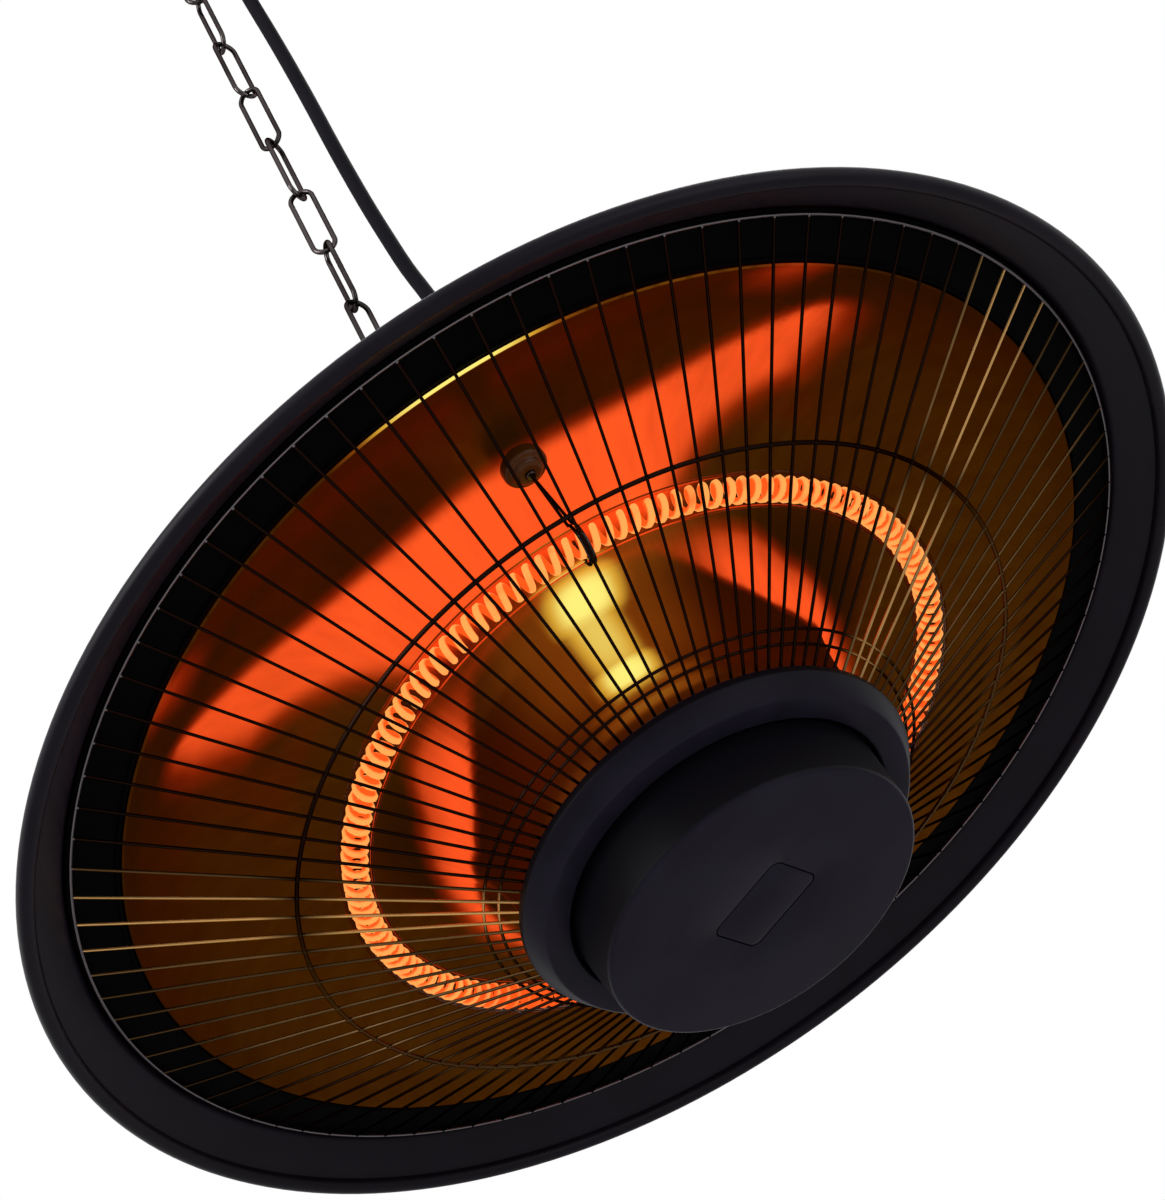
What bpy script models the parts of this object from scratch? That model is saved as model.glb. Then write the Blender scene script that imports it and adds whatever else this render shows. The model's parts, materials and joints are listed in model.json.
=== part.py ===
"""Infrared patio heater that hangs from the ceiling on a chain.

A round black shade holds a gold reflector, a ring-shaped quartz heating tube and a
wire guard. A hub closes the guard at the centre, a housing on top holds the wiring,
and a snap hook, a link chain and a ceiling hook carry the whole.

Lengths are in metres. The origin is the centre of the ceiling plate's upper face, and
+Z points up. The heater itself is drawn in a frame of its own, whose Z axis is the
heater's axis and whose origin is the centre of the rim.
"""

import math

import bmesh
import bpy
from mathutils import Matrix, Vector

# Clearances
TOUCH_GAP = 0.0003
CUT_OVERRUN = 0.002
MERGE_DISTANCE = 0.00001

# Ceiling plate, its hook and its screws
PLATE_RADIUS = 0.032
PLATE_THICKNESS = 0.003
PLATE_EDGE = 0.0008
HOOK_WIRE_RADIUS = 0.002
HOOK_BOWL_RADIUS = 0.0085
HOOK_DROP = 0.035
HOOK_COLLAR_RADIUS = 0.006
HOOK_COLLAR_HEIGHT = 0.004
HOOK_OPENING_DEG = 55
PLATE_SCREW_CIRCLE = 0.022
PLATE_SCREW_COUNT = 2
PLATE_SCREW_HEAD_RADIUS = 0.0038
PLATE_SCREW_HEAD_HEIGHT = 0.0022

# Chain, counted from the ceiling down
LINK_WIRE_RADIUS = 0.001
LINK_WIDTH = 0.010
LINK_PITCH = 0.0352
LINK_TURNS_DEG = (90, 18, -55, 55, -13, 77, 8, -60, 51, -19)
CHAIN_LEAN_DEG = 1.5
LINK_ARC_STEPS = 4

# Snap hook between the chain and the heater's eye
SNAP_WIRE_RADIUS = 0.00175
SNAP_LENGTH = 0.0375
SNAP_HALF_WIDTH = 0.0085
SNAP_ARC_STEPS = 8
SNAP_NOSE = 0.0025
SNAP_GATE_TOP = SNAP_LENGTH - SNAP_HALF_WIDTH - SNAP_NOSE
SNAP_GATE_RISE = 0.001
SNAP_GATE_BOTTOM = SNAP_HALF_WIDTH + SNAP_GATE_RISE

# Shade
RIM_RADIUS = 0.2125
RIM_BEAD_RADIUS = 0.0029
SHADE_SHEET = 0.0012
FLANGE_WIDTH = 0.0173
STEP_RADIUS = RIM_RADIUS - FLANGE_WIDTH
STEP_HEIGHT = 0.0086
DOME_TOP = 0.078
FLANGE_JOIN_DEG = 150
DOME_SHARES = (
    (0.34, 1.0),
    (0.53, 0.9),
    (0.72, 0.69),
    (0.88, 0.41),
    (0.975, 0.16),
)
FLANGE_SHARES = ((0.0, 0.0), (0.5, 0.55))
SHADE_SIDES = 36

# Ledge ring between the shade and the reflector
LEDGE_SHEET = 0.0012
LEDGE_WIDTH = 0.0176
LEDGE_INNER_RADIUS = STEP_RADIUS - LEDGE_WIDTH
LEDGE_DROP = 0.0029
LEDGE_INNER_HEIGHT = STEP_HEIGHT - LEDGE_DROP
LEDGE_KNEE = 0.0019
LEDGE_RISE = 0.0013
LEDGE_OUTER_HEIGHT = STEP_HEIGHT + LEDGE_RISE

# Hub under the guard
HUB_TOP = -0.054
COLLAR_RADIUS = 0.0703
COLLAR_EDGE = 0.0012
COLLAR_BAND = 0.002
COLLAR_TAPER = 0.0043
COLLAR_LOWER_RADIUS = COLLAR_RADIUS - COLLAR_TAPER
COLLAR_HEIGHT = 0.0105
COLLAR_PLATE = 0.0025
COLLAR_RIM = 0.009
COLLAR_RECESS_RADIUS = COLLAR_LOWER_RADIUS - COLLAR_RIM
CUP_SIDE_GAP = 0.0008
CUP_TOP_RADIUS = COLLAR_RECESS_RADIUS - CUP_SIDE_GAP
CUP_TAPER = 0.0013
CUP_BOTTOM_RADIUS = CUP_TOP_RADIUS - CUP_TAPER
CUP_DEPTH = 0.0314
CUP_FLOOR = HUB_TOP - CUP_DEPTH
CUP_FILLET = 0.0015
CUP_WALL = 0.0025
CUP_FLOOR_THICKNESS = 0.0045
BADGE_LENGTH = 0.0306
BADGE_WIDTH = 0.0213
BADGE_CORNER = 0.003
BADGE_GROOVE = 0.0004
BADGE_THICKNESS = 0.001
BADGE_TURN_DEG = -20.1
HUB_SCREW_HEAD_RADIUS = 0.0042
HUB_SCREW_HEAD_HEIGHT = 0.0015
HUB_SCREW_RADIUS = 0.002
HUB_SIDES = 32

# Reflector
REFLECTOR_SHEET = 0.0008
REFLECTOR_EDGE_GAP = 0.0015
REFLECTOR_EDGE_RADIUS = LEDGE_INNER_RADIUS - REFLECTOR_EDGE_GAP
REFLECTOR_EDGE_HEIGHT = LEDGE_INNER_HEIGHT - TOUCH_GAP
REFLECTOR_CEILING = 0.030
REFLECTOR_NECK_INSET = 0.0098
REFLECTOR_NECK_RADIUS = COLLAR_RADIUS - REFLECTOR_NECK_INSET
REFLECTOR_FLOOR_GAP = 0.0008
REFLECTOR_FLOOR = HUB_TOP + REFLECTOR_FLOOR_GAP + REFLECTOR_SHEET / 2
TROUGH_WIDTH = REFLECTOR_EDGE_RADIUS - REFLECTOR_NECK_RADIUS
REFLECTOR_SEAT_WIDTH = 0.0205
REFLECTOR_SEAT_RADIUS = REFLECTOR_NECK_RADIUS - REFLECTOR_SEAT_WIDTH
NECK_SHARES = (
    (0.022, 0.1),
    (0.045, 0.4),
    (0.1, 0.65),
    (0.22, 0.88),
)
TROUGH_SHARES = (
    (0.38, 1.0),
    (0.56, 0.98),
    (0.76, 0.75),
    (0.92, 0.32),
)
REFLECTOR_SIDES = 36

# Wire guard, clamped on the hub's collar
GUARD_WIRE = 0.0014
GUARD_WIRE_COUNT = 96
GUARD_EDGE_GAP = 0.003
GUARD_OUTER_RADIUS = STEP_RADIUS - GUARD_EDGE_GAP
GUARD_OUTER_DROP = 0.0009
GUARD_OUTER_HEIGHT = STEP_HEIGHT - GUARD_OUTER_DROP
GUARD_LAP = 0.0033
GUARD_INNER_RADIUS = COLLAR_RADIUS - GUARD_LAP
GUARD_INNER_HEIGHT = HUB_TOP + TOUCH_GAP + GUARD_WIRE / 2
GUARD_MIDDLE_SHARE = 0.505
GUARD_BULGE = 0.00055

# Post through the middle
POST_RADIUS = 0.006
POST_REACH = 0.012
POST_BOTTOM = HUB_TOP - POST_REACH
POST_RISE = 0.012
POST_BORE_DEPTH = 0.014
NUT_ACROSS = 0.016
NUT_HEIGHT = 0.006

# Heating tube and what holds it
RING_SHARE = 0.397
RING_RADIUS = REFLECTOR_NECK_RADIUS + TROUGH_WIDTH * RING_SHARE
RING_DROP = 0.0424
RING_HEIGHT = REFLECTOR_CEILING - RING_DROP
TUBE_RADIUS = 0.00575
TUBE_WALL = 0.0009
TUBE_GAP_DEG = 11
TUBE_STEPS = 26
FILAMENT_WIRE_RADIUS = 0.00045
FILAMENT_COIL_RADIUS = 0.0036
FILAMENT_CURLS = 13
FILAMENT_STEPS = 8
FILAMENT_INSET_DEG = 1.5
CAP_RADIUS = 0.0075
CAP_LENGTH = 0.013
BRACKET_SHEET = 0.0012
BRACKET_WIDTH = 0.007
BRACKET_POST_WIDTH = 0.008
SUPPORT_TURN_DEG = 282.5
SUPPORT_BEAD_RADIUS = 0.0075
SUPPORT_BEAD_HEIGHT = 0.009
SUPPORT_BEAD_NECK = 0.0045
SUPPORT_OFFSET = 0.0036
SUPPORT_RING_RADIUS = RING_RADIUS + SUPPORT_OFFSET
SUPPORT_WIRE_RADIUS = 0.0007
SUPPORT_LOOP_DEG = 298
LEAD_RADIUS = 0.0016
LEAD_HOLE_RADIUS = 0.0022
LEAD_SPREAD = 0.009
LEAD_HALF_SPACING = 0.003
LEAD_POINT_STEP = 0.011
LEAD_BEND = 0.006

# Housing on top of the shade
HOUSING_RADIUS = 0.052
HOUSING_HEIGHT = 0.040
HOUSING_TOP = DOME_TOP + HOUSING_HEIGHT
HOUSING_WALL = 0.0015
HOUSING_FILLET = 0.004
HOUSING_FLANGE = 0.009
HOUSING_FLANGE_RADIUS = HOUSING_RADIUS + HOUSING_FLANGE
HOUSING_SCREW_COUNT = 3
HOUSING_SCREW_HEAD_RADIUS = 0.003
HOUSING_SCREW_HEAD_HEIGHT = 0.0018
VENT_COUNT = 8
VENT_WIDTH = 0.004
VENT_LENGTH = 0.016
TERMINAL_LENGTH = 0.030
TERMINAL_WIDTH = 0.013
TERMINAL_HEIGHT = 0.014
TERMINAL_PLACE = HOUSING_RADIUS / 2
TERMINAL_SCREW_COUNT = 2
CUTOUT_RADIUS = 0.008
CUTOUT_HEIGHT = 0.006
CUTOUT_OFFSET = 0.0066
CUTOUT_RING_RADIUS = RING_RADIUS + CUTOUT_OFFSET
CUTOUT_TURN_DEG = 200

# Eye bolt
EYE_RING_RADIUS = 0.0105
EYE_WIRE_RADIUS = 0.0025
EYE_SHANK_RADIUS = 0.003
EYE_SHANK_LENGTH = 0.013
EYE_SHOULDER_RADIUS = 0.0075
EYE_SHOULDER_EDGE = 0.0015
EYE_NECK_RADIUS = 0.0042
EYE_NUT_ACROSS = 0.010
EYE_NUT_HEIGHT = 0.005
EYE_RISE = 0.022
PIVOT_HEIGHT = HOUSING_TOP + EYE_RISE
HEATER_TILT_DEG = 7.23

# Power switch
SWITCH_INSET = 0.022
SWITCH_PLACE = HOUSING_RADIUS - SWITCH_INSET
SWITCH_LENGTH = 0.021
SWITCH_WIDTH = 0.015
SWITCH_RIM = 0.0022
SWITCH_RIM_HEIGHT = 0.0018
SWITCH_BODY_DEPTH = 0.012
ROCKER_RADIUS = 0.0092
ROCKER_WIDTH = 0.0096
ROCKER_THROW_DEG = 8
ROCKER_RISE_SHARE = 1.5
ROCKER_STEPS = 6

# Power cord
CORD_RADIUS = 0.003
GLAND_INSET = 0.017
GLAND_PLACE = HOUSING_RADIUS - GLAND_INSET
GLAND_NUT_RADIUS = 0.009
GLAND_NUT_HEIGHT = 0.007
GLAND_NECK_RADIUS = 0.0056
GLAND_TIP_RADIUS = 0.0043
GLAND_HEIGHT = 0.038
GLAND_THREAD_RADIUS = 0.006
GLAND_THREAD_LENGTH = 0.011
CORD_ROUTE_SHARES = (
    (0.0300, 0.0000, 0.1316),
    (0.0278, 0.0000, 0.1930),
    (0.0262, 0.0000, 0.2553),
    (0.0240, 0.0000, 0.3140),
    (0.0228, 0.0000, 0.3751),
    (0.0218, 0.0000, 0.4459),
    (0.0212, 0.0000, 0.5442),
    (0.0211, 0.0000, 0.6585),
    (0.0205, -0.0005, 0.7693),
    (0.0195, -0.0024, 0.8711),
)
CORD_POINT_STEP = 0.015
COIL_SIDE = 0.019
COIL_DROP = 0.07845
COIL_OUTER_RADIUS = 0.046
COIL_PITCH = 0.0067
COIL_LOOPS_IN = 2
COIL_LOOPS_OUT = 1.875
COIL_STEPS = 24
COIL_DIP_SHARE = 0.25
COIL_END = 0.016
TIE_SHEET = 0.0012
TIE_WIDTH = 0.008
TIE_LEFT = -0.0065
TIE_REACH_SHARE = 3.955
TIE_RIGHT = COIL_SIDE + COIL_PITCH * TIE_REACH_SHARE
TIE_GAP = 0.00055
TIE_HALF_DEPTH = COIL_PITCH / 2 + CORD_RADIUS + TIE_GAP
TIE_CORNER_SHARE = 0.95
PLUG_RELIEF_LENGTH = 0.032
PLUG_RELIEF_RADIUS = 0.0043
PLUG_NECK_RADIUS = 0.0065
PLUG_SHOULDER = 0.010
PLUG_RADIUS = 0.019
PLUG_LENGTH = 0.018
PIN_RADIUS = 0.0024
PIN_LENGTH = 0.019
PIN_SPACING = 0.019

# Colours, as red, green, blue, then roughness and metallic
MATERIALS = {
    "black_steel": ((0.012, 0.012, 0.016), 0.55, 0.0),
    "hub_black": ((0.018, 0.018, 0.022), 0.6, 0.0),
    "gold": ((0.75, 0.42, 0.12), 0.22, 1.0),
    "guard_wire": ((0.02, 0.018, 0.018), 0.5, 0.3),
    "chain_metal": ((0.10, 0.085, 0.085), 0.3, 1.0),
    "zinc": ((0.55, 0.55, 0.56), 0.4, 1.0),
    "quartz": ((0.9, 0.6, 0.4), 0.1, 0.0),
    "filament": ((1.0, 0.35, 0.1), 0.5, 0.0),
    "ceramic": ((0.75, 0.72, 0.66), 0.7, 0.0),
    "rubber": ((0.015, 0.014, 0.018), 0.6, 0.0),
    "sleeve": ((0.7, 0.68, 0.62), 0.8, 0.0),
    "pin_brass": ((0.7, 0.68, 0.62), 0.3, 1.0),
}


def clear_scene():
    """Remove what the scene holds."""
    for item in list(bpy.data.objects):
        bpy.data.objects.remove(item)


def make_material(name):
    """Make the Principled material of that name."""
    colour, roughness, metallic = MATERIALS[name]
    material = bpy.data.materials.new(name)
    material.use_nodes = True
    shader = material.node_tree.nodes["Principled BSDF"]
    shader.inputs["Base Color"].default_value = (*colour, 1)
    shader.inputs["Roughness"].default_value = roughness
    shader.inputs["Metallic"].default_value = metallic
    return material


def new_collection(name):
    """Make a collection in the scene."""
    made = bpy.data.collections.new(name)
    bpy.context.scene.collection.children.link(made)
    return made


def place(item, material, parent=None, location=(0, 0, 0), rotation=(0, 0, 0)):
    """Link an object to the heater's collection, in its parent's frame."""
    PARTS.objects.link(item)
    item.parent = parent
    item.location = location
    item.rotation_euler = rotation
    if material:
        item.data.materials.append(bpy.data.materials.get(material) or make_material(material))
    return item


def empty(name, parent=None, location=(0, 0, 0), rotation=(0, 0, 0)):
    """Make an empty that other objects are placed by."""
    return place(bpy.data.objects.new(name, None), None, parent, location, rotation)


def mesh_from(name, build):
    """Make a mesh from what build adds to a bmesh."""
    made = bmesh.new()
    build(made)
    mesh = bpy.data.meshes.new(name)
    made.to_mesh(mesh)
    made.free()
    return mesh


def smooth(mesh, angle_deg=35):
    """Shade a mesh smooth but for its sharp edges."""
    mesh.shade_smooth()
    mesh.set_sharp_from_angle(angle=math.radians(angle_deg))


def signed_area(outline):
    """Return the area inside an outline, negative where it runs clockwise."""
    pairs = zip(outline, outline[1:] + outline[:1])
    return sum(a[0] * b[1] - b[0] * a[1] for a, b in pairs) / 2


def turned(name, outline, sides, material, parent=None, **where):
    """Turn an outline of (radius, height) points about Z into a solid.

    The outline is a closed loop, or starts and ends on the axis.
    """
    if signed_area(outline) > 0:
        outline = outline[::-1]
    on_axis = [point[0] < MERGE_DISTANCE for point in outline]
    closed = not any(on_axis)
    if not closed:
        first = next(i for i in range(len(outline)) if on_axis[i] and on_axis[i - 1])
        outline = outline[first:] + outline[:first]
    mesh = bpy.data.meshes.new(name)
    points = [(radius, 0, height) for radius, height in outline]
    edges = [(i, i + 1) for i in range(len(points) - 1)]
    mesh.from_pydata(points, edges + ([(len(points) - 1, 0)] if closed else []), [])
    item = place(bpy.data.objects.new(name, mesh), material, parent, **where)
    screw = item.modifiers.new("Turn", "SCREW")
    screw.steps = screw.render_steps = sides
    screw.use_merge_vertices = True
    screw.merge_threshold = MERGE_DISTANCE
    screw.use_smooth_shade = True
    return item


def sheet_outline(path, thickness):
    """Return the two sides of a bent sheet, as the points left and right of its middle line."""
    left, right = [], []
    for i, (radius, height) in enumerate(path):
        before, after = path[max(i - 1, 0)], path[min(i + 1, len(path) - 1)]
        along = Vector((after[0] - before[0], after[1] - before[1])).normalized()
        across = Vector((-along.y, along.x)) * (thickness / 2)
        left.append((radius + across.x, height + across.y))
        right.append((radius - across.x, height - across.y))
    return left, right


def arc(centre, radius, start_deg, end_deg, steps):
    """Return points along an arc in a plane, both ends included."""
    angles = (math.radians(start_deg + (end_deg - start_deg) * i / steps) for i in range(steps + 1))
    return [(centre[0] + radius * math.cos(a), centre[1] + radius * math.sin(a)) for a in angles]


def wire(name, points, radius, material, parent=None, closed=False, detail=2, **where):
    """Lay a round wire along points."""
    curve = bpy.data.curves.new(name, "CURVE")
    curve.dimensions = "3D"
    spline = curve.splines.new("POLY")
    spline.points.add(len(points) - 1)
    for target, point in zip(spline.points, points):
        target.co = (*point, 1)
    spline.use_cyclic_u = closed
    curve.bevel_depth = radius
    curve.bevel_resolution = detail
    curve.use_fill_caps = not closed
    return place(bpy.data.objects.new(name, curve), material, parent, **where)


def plate(name, outlines, thickness, material, parent=None, **where):
    """Extrude flat outlines, the first the edge and the others holes, about their own plane."""
    curve = bpy.data.curves.new(name, "CURVE")
    curve.dimensions = "2D"
    curve.fill_mode = "BOTH"
    curve.extrude = thickness / 2
    for outline in outlines:
        spline = curve.splines.new("POLY")
        spline.points.add(len(outline) - 1)
        for target, point in zip(spline.points, outline):
            target.co = (point[0], point[1], 0, 1)
        spline.use_cyclic_u = True
    return place(bpy.data.objects.new(name, curve), material, parent, **where)


def rounded_rectangle(length, width, corner, steps=4):
    """Return the outline of a rectangle with round corners, about its centre."""
    x, y = length / 2 - corner, width / 2 - corner
    corners = ((x, y, 0), (-x, y, 90), (-x, -y, 180), (x, -y, 270))
    return [p for cx, cy, turn in corners for p in arc((cx, cy), corner, turn, turn + 90, steps)]


def to_mesh(item):
    """Replace a curve or a modified object by the mesh that it shows, its caps welded."""
    bpy.context.view_layer.update()
    shown = item.evaluated_get(bpy.context.evaluated_depsgraph_get())
    mesh = bpy.data.meshes.new_from_object(shown)
    joined = bmesh.new()
    joined.from_mesh(mesh)
    bmesh.ops.remove_doubles(joined, verts=joined.verts, dist=MERGE_DISTANCE)
    joined.to_mesh(mesh)
    joined.free()
    made = bpy.data.objects.new(item.name, mesh)
    for owner in item.users_collection:
        owner.objects.link(made)
    made.parent = item.parent
    made.matrix_basis = item.matrix_basis.copy()
    name = item.name
    bpy.data.objects.remove(item)
    made.name = name
    return made


def combine(item, other, operation):
    """Cut another object from this one, or join it on, with an exact Boolean."""
    for collection in list(other.users_collection):
        collection.objects.unlink(other)
    CUTTERS.objects.link(other)
    other.hide_render = True
    other.display_type = "WIRE"
    boolean = item.modifiers.new(operation.title(), "BOOLEAN")
    boolean.operation = operation
    boolean.solver = "EXACT"
    boolean.object = other
    return item


def cylinder(name, radius, bottom, top, sides, material, parent=None, x=0, y=0, **where):
    """Make an upright cylinder from bottom to top."""

    def build(made):
        bmesh.ops.create_cone(
            made, cap_ends=True, segments=sides, radius1=radius, radius2=radius, depth=top - bottom
        )

    mesh = mesh_from(name, build)
    smooth(mesh)
    middle = (x, y, (top + bottom) / 2)
    return place(bpy.data.objects.new(name, mesh), material, parent, location=middle, **where)


def box(name, size, centre, material, parent=None, rotation=(0, 0, 0)):
    """Make a box of that size about its centre."""

    def build(made):
        bmesh.ops.create_cube(made, size=1, matrix=Matrix.Diagonal((*size, 1)))

    item = bpy.data.objects.new(name, mesh_from(name, build))
    return place(item, material, parent, location=centre, rotation=rotation)


def hex_nut(name, across, height, bore, bottom, parent, x=0):
    """Make a hexagon nut with a round bore."""
    corner = across / 2 / math.cos(math.radians(30))
    top = bottom + height
    nut = cylinder(name, corner, bottom, top, 6, "zinc", parent, x)
    hole = cylinder(name + "_bore", bore, bottom - CUT_OVERRUN, top + CUT_OVERRUN, 16, None, parent, x)
    return combine(nut, hole, "DIFFERENCE")


def screw_heads(name, radius, bottom, height, places, parent=None):
    """Make a numbered screw head at each (x, y) place."""
    for i, (x, y) in enumerate(places):
        cylinder(f"{name}_{i + 1}", radius, bottom, bottom + height, 14, "zinc", parent, x, y)


def on_circle(radius, turn_deg, height=0.0):
    """Return the point at that radius, angle and height."""
    turn = math.radians(turn_deg)
    return Vector((radius * math.cos(turn), radius * math.sin(turn), height))


def smooth_route(points, step):
    """Read points about a step apart from a smooth curve through the given points."""
    route = [Vector(p) for p in points]
    ends = [route[0] * 2 - route[1]] + route + [route[-1] * 2 - route[-2]]
    made = [route[0]]
    for i in range(1, len(ends) - 2):
        p0, p1, p2, p3 = ends[i - 1 : i + 3]
        count = max(1, round((p2 - p1).length / step))
        for k in range(1, count + 1):
            t = k / count
            bend = p1 * 2 + (p2 - p0) * t + (p0 * 2 - p1 * 5 + p2 * 4 - p3) * t**2
            made.append((bend + (p1 * 3 - p0 - p2 * 3 + p3) * t**3) / 2)
    return made


def build_ceiling_fitting():
    """Build the ceiling plate, the hook under it and its screws."""
    low = -PLATE_THICKNESS
    outline = [(0, 0), (PLATE_RADIUS, 0), (PLATE_RADIUS, low + PLATE_EDGE)]
    outline += [(PLATE_RADIUS - PLATE_EDGE, low), (0, low)]
    turned("ceiling_plate", outline, 32, "black_steel")
    top = low - TOUCH_GAP
    bowl_centre = -HOOK_DROP + HOOK_BOWL_RADIUS
    neck = [(0, top - HOOK_COLLAR_HEIGHT / 2), (0, top - HOOK_COLLAR_HEIGHT - HOOK_WIRE_RADIUS)]
    bowl = arc((0, bowl_centre), HOOK_BOWL_RADIUS, 180 - HOOK_OPENING_DEG, 360 + HOOK_OPENING_DEG / 2, 11)
    hook = wire(
        "ceiling_hook", [(x, 0, z) for x, z in neck + bowl], HOOK_WIRE_RADIUS, "chain_metal"
    )
    hook = to_mesh(hook)
    collar = cylinder("hook_collar", HOOK_COLLAR_RADIUS, top - HOOK_COLLAR_HEIGHT, top, 20, None)
    combine(hook, collar, "UNION")
    step = 360 / PLATE_SCREW_COUNT
    places = [on_circle(PLATE_SCREW_CIRCLE, 90 + step * i).xy for i in range(PLATE_SCREW_COUNT)]
    height = PLATE_SCREW_HEAD_HEIGHT
    screw_heads("ceiling_screw", PLATE_SCREW_HEAD_RADIUS, top - height, height, places)


def link_points(length, half_width, steps):
    """Return a link's middle line, upright in the XZ plane with its top arc's crown at the origin."""
    straight = length / 2 - half_width
    top = arc((0, straight), half_width, 0, 180, steps)
    bottom = arc((0, -straight), half_width, 180, 360, steps)
    return [(x, 0, z - length / 2) for x, z in top + bottom]


def hanging_frame():
    """Make the frame of all that hangs in the ceiling hook, leaning about the hook's bowl."""
    lean = math.radians(CHAIN_LEAN_DEG)
    bowl = Vector((0, 0, -HOOK_DROP))
    where = bowl - Matrix.Rotation(lean, 3, "Y") @ bowl
    return empty("hanging_frame", location=where, rotation=(0, lean, 0))


def build_chain(hanging):
    """Hang the links one in the other and return the height of the last link's lower crown."""
    half_width = LINK_WIDTH / 2 - LINK_WIRE_RADIUS
    overlap = LINK_WIRE_RADIUS * 2 + TOUCH_GAP
    length = LINK_PITCH + overlap
    crown = -HOOK_DROP + HOOK_WIRE_RADIUS + LINK_WIRE_RADIUS + TOUCH_GAP
    for i, turn in enumerate(LINK_TURNS_DEG):
        wire(
            f"chain_link_{i + 1:02d}",
            link_points(length, half_width, LINK_ARC_STEPS),
            LINK_WIRE_RADIUS,
            "chain_metal",
            hanging,
            closed=True,
            detail=1,
            location=(0, 0, crown - i * LINK_PITCH),
            rotation=(0, 0, math.radians(turn)),
        )
    return crown - len(LINK_TURNS_DEG) * LINK_PITCH - overlap


def build_snap_hook(hanging, pivot):
    """Build the snap hook, whose lower crown is at the pivot, and its sprung gate."""
    middle = SNAP_LENGTH / 2
    straight = middle - SNAP_HALF_WIDTH
    lower = arc((0, middle - straight), SNAP_HALF_WIDTH, 360, 180, SNAP_ARC_STEPS)
    upper = arc((0, middle + straight), SNAP_HALF_WIDTH, 180, 0, SNAP_ARC_STEPS)
    reach = SNAP_WIRE_RADIUS + TOUCH_GAP
    outline = [(SNAP_HALF_WIDTH, SNAP_GATE_BOTTOM - TOUCH_GAP)] + lower + upper
    outline += [(SNAP_HALF_WIDTH, SNAP_GATE_TOP + reach)]
    points = [(0, y, pivot.z + z) for y, z in outline]
    wire("snap_hook", points, SNAP_WIRE_RADIUS, "chain_metal", hanging)
    length = SNAP_GATE_TOP - SNAP_GATE_BOTTOM
    crown = arc((0, 0), SNAP_WIRE_RADIUS, 90, 0, 4)
    outline = crown + [(SNAP_WIRE_RADIUS, -length), (0, -length)]
    where = (0, SNAP_HALF_WIDTH, pivot.z + SNAP_GATE_TOP)
    turned("snap_gate", outline, 12, "zinc", hanging, location=where)


def build_shade(frame):
    """Build the turned shade: dome, step, flange and the bead around its rim."""
    rise = DOME_TOP - STEP_HEIGHT
    hole = POST_RADIUS + TOUCH_GAP
    bead = (RIM_RADIUS - RIM_BEAD_RADIUS, 0)
    join = arc(bead, RIM_BEAD_RADIUS, FLANGE_JOIN_DEG, FLANGE_JOIN_DEG, 1)[0]
    path = [(hole, DOME_TOP)] + [(STEP_RADIUS * r, STEP_HEIGHT + rise * z) for r, z in DOME_SHARES]
    run, fall = join[0] - STEP_RADIUS, join[1] - STEP_HEIGHT
    path += [(STEP_RADIUS + run * r, STEP_HEIGHT + fall * z) for r, z in FLANGE_SHARES]
    upper, lower = sheet_outline(path + [join], SHADE_SHEET)
    spread = math.degrees(math.asin(SHADE_SHEET / 2 / RIM_BEAD_RADIUS))
    edge = arc(bead, RIM_BEAD_RADIUS, FLANGE_JOIN_DEG - spread, FLANGE_JOIN_DEG - 360 + spread, 6)
    shade = turned("shade", upper[:-1] + edge + lower[-2::-1], SHADE_SIDES, "black_steel", frame)
    for side in (-1, 1):
        x, y = lead_hole_place(side)
        low, high = DOME_TOP - CUT_OVERRUN, DOME_TOP + CUT_OVERRUN
        hole = cylinder("lead_hole", LEAD_HOLE_RADIUS, low, high, 12, None, frame, x, y)
        combine(shade, hole, "DIFFERENCE")


def build_ledge_ring(frame):
    """Build the black ring that closes the gap between the shade and the reflector."""
    outer = STEP_RADIUS - SHADE_SHEET - TOUCH_GAP * 3
    path = [
        (LEDGE_INNER_RADIUS, LEDGE_INNER_HEIGHT),
        (LEDGE_INNER_RADIUS + LEDGE_SHEET / 2, LEDGE_INNER_HEIGHT + LEDGE_KNEE),
        (outer, LEDGE_OUTER_HEIGHT),
    ]
    upper, lower = sheet_outline(path, LEDGE_SHEET)
    turned("ledge_ring", upper + lower[::-1], SHADE_SIDES, "black_steel", frame)


def reflector_height(radius):
    """Return the height of the reflector's upper face over a radius in the trough."""
    points = reflector_path()
    for (r0, z0), (r1, z1) in zip(points, points[1:]):
        if r0 <= radius <= r1:
            return z0 + (z1 - z0) * (radius - r0) / (r1 - r0) + REFLECTOR_SHEET / 2
    return REFLECTOR_CEILING


def reflector_path():
    """Return the middle line of the reflector's sheet, from its seat out to its edge."""
    neck, floor, edge = REFLECTOR_NECK_RADIUS, REFLECTOR_FLOOR, REFLECTOR_EDGE_HEIGHT
    climb = REFLECTOR_CEILING - floor
    fall = REFLECTOR_CEILING - edge
    path = [(REFLECTOR_SEAT_RADIUS, floor), (neck, floor)]
    path += [(neck + TROUGH_WIDTH * r, floor + climb * z) for r, z in NECK_SHARES]
    path += [(neck + TROUGH_WIDTH * r, edge + fall * z) for r, z in TROUGH_SHARES]
    return path + [(REFLECTOR_EDGE_RADIUS, edge)]


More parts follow.
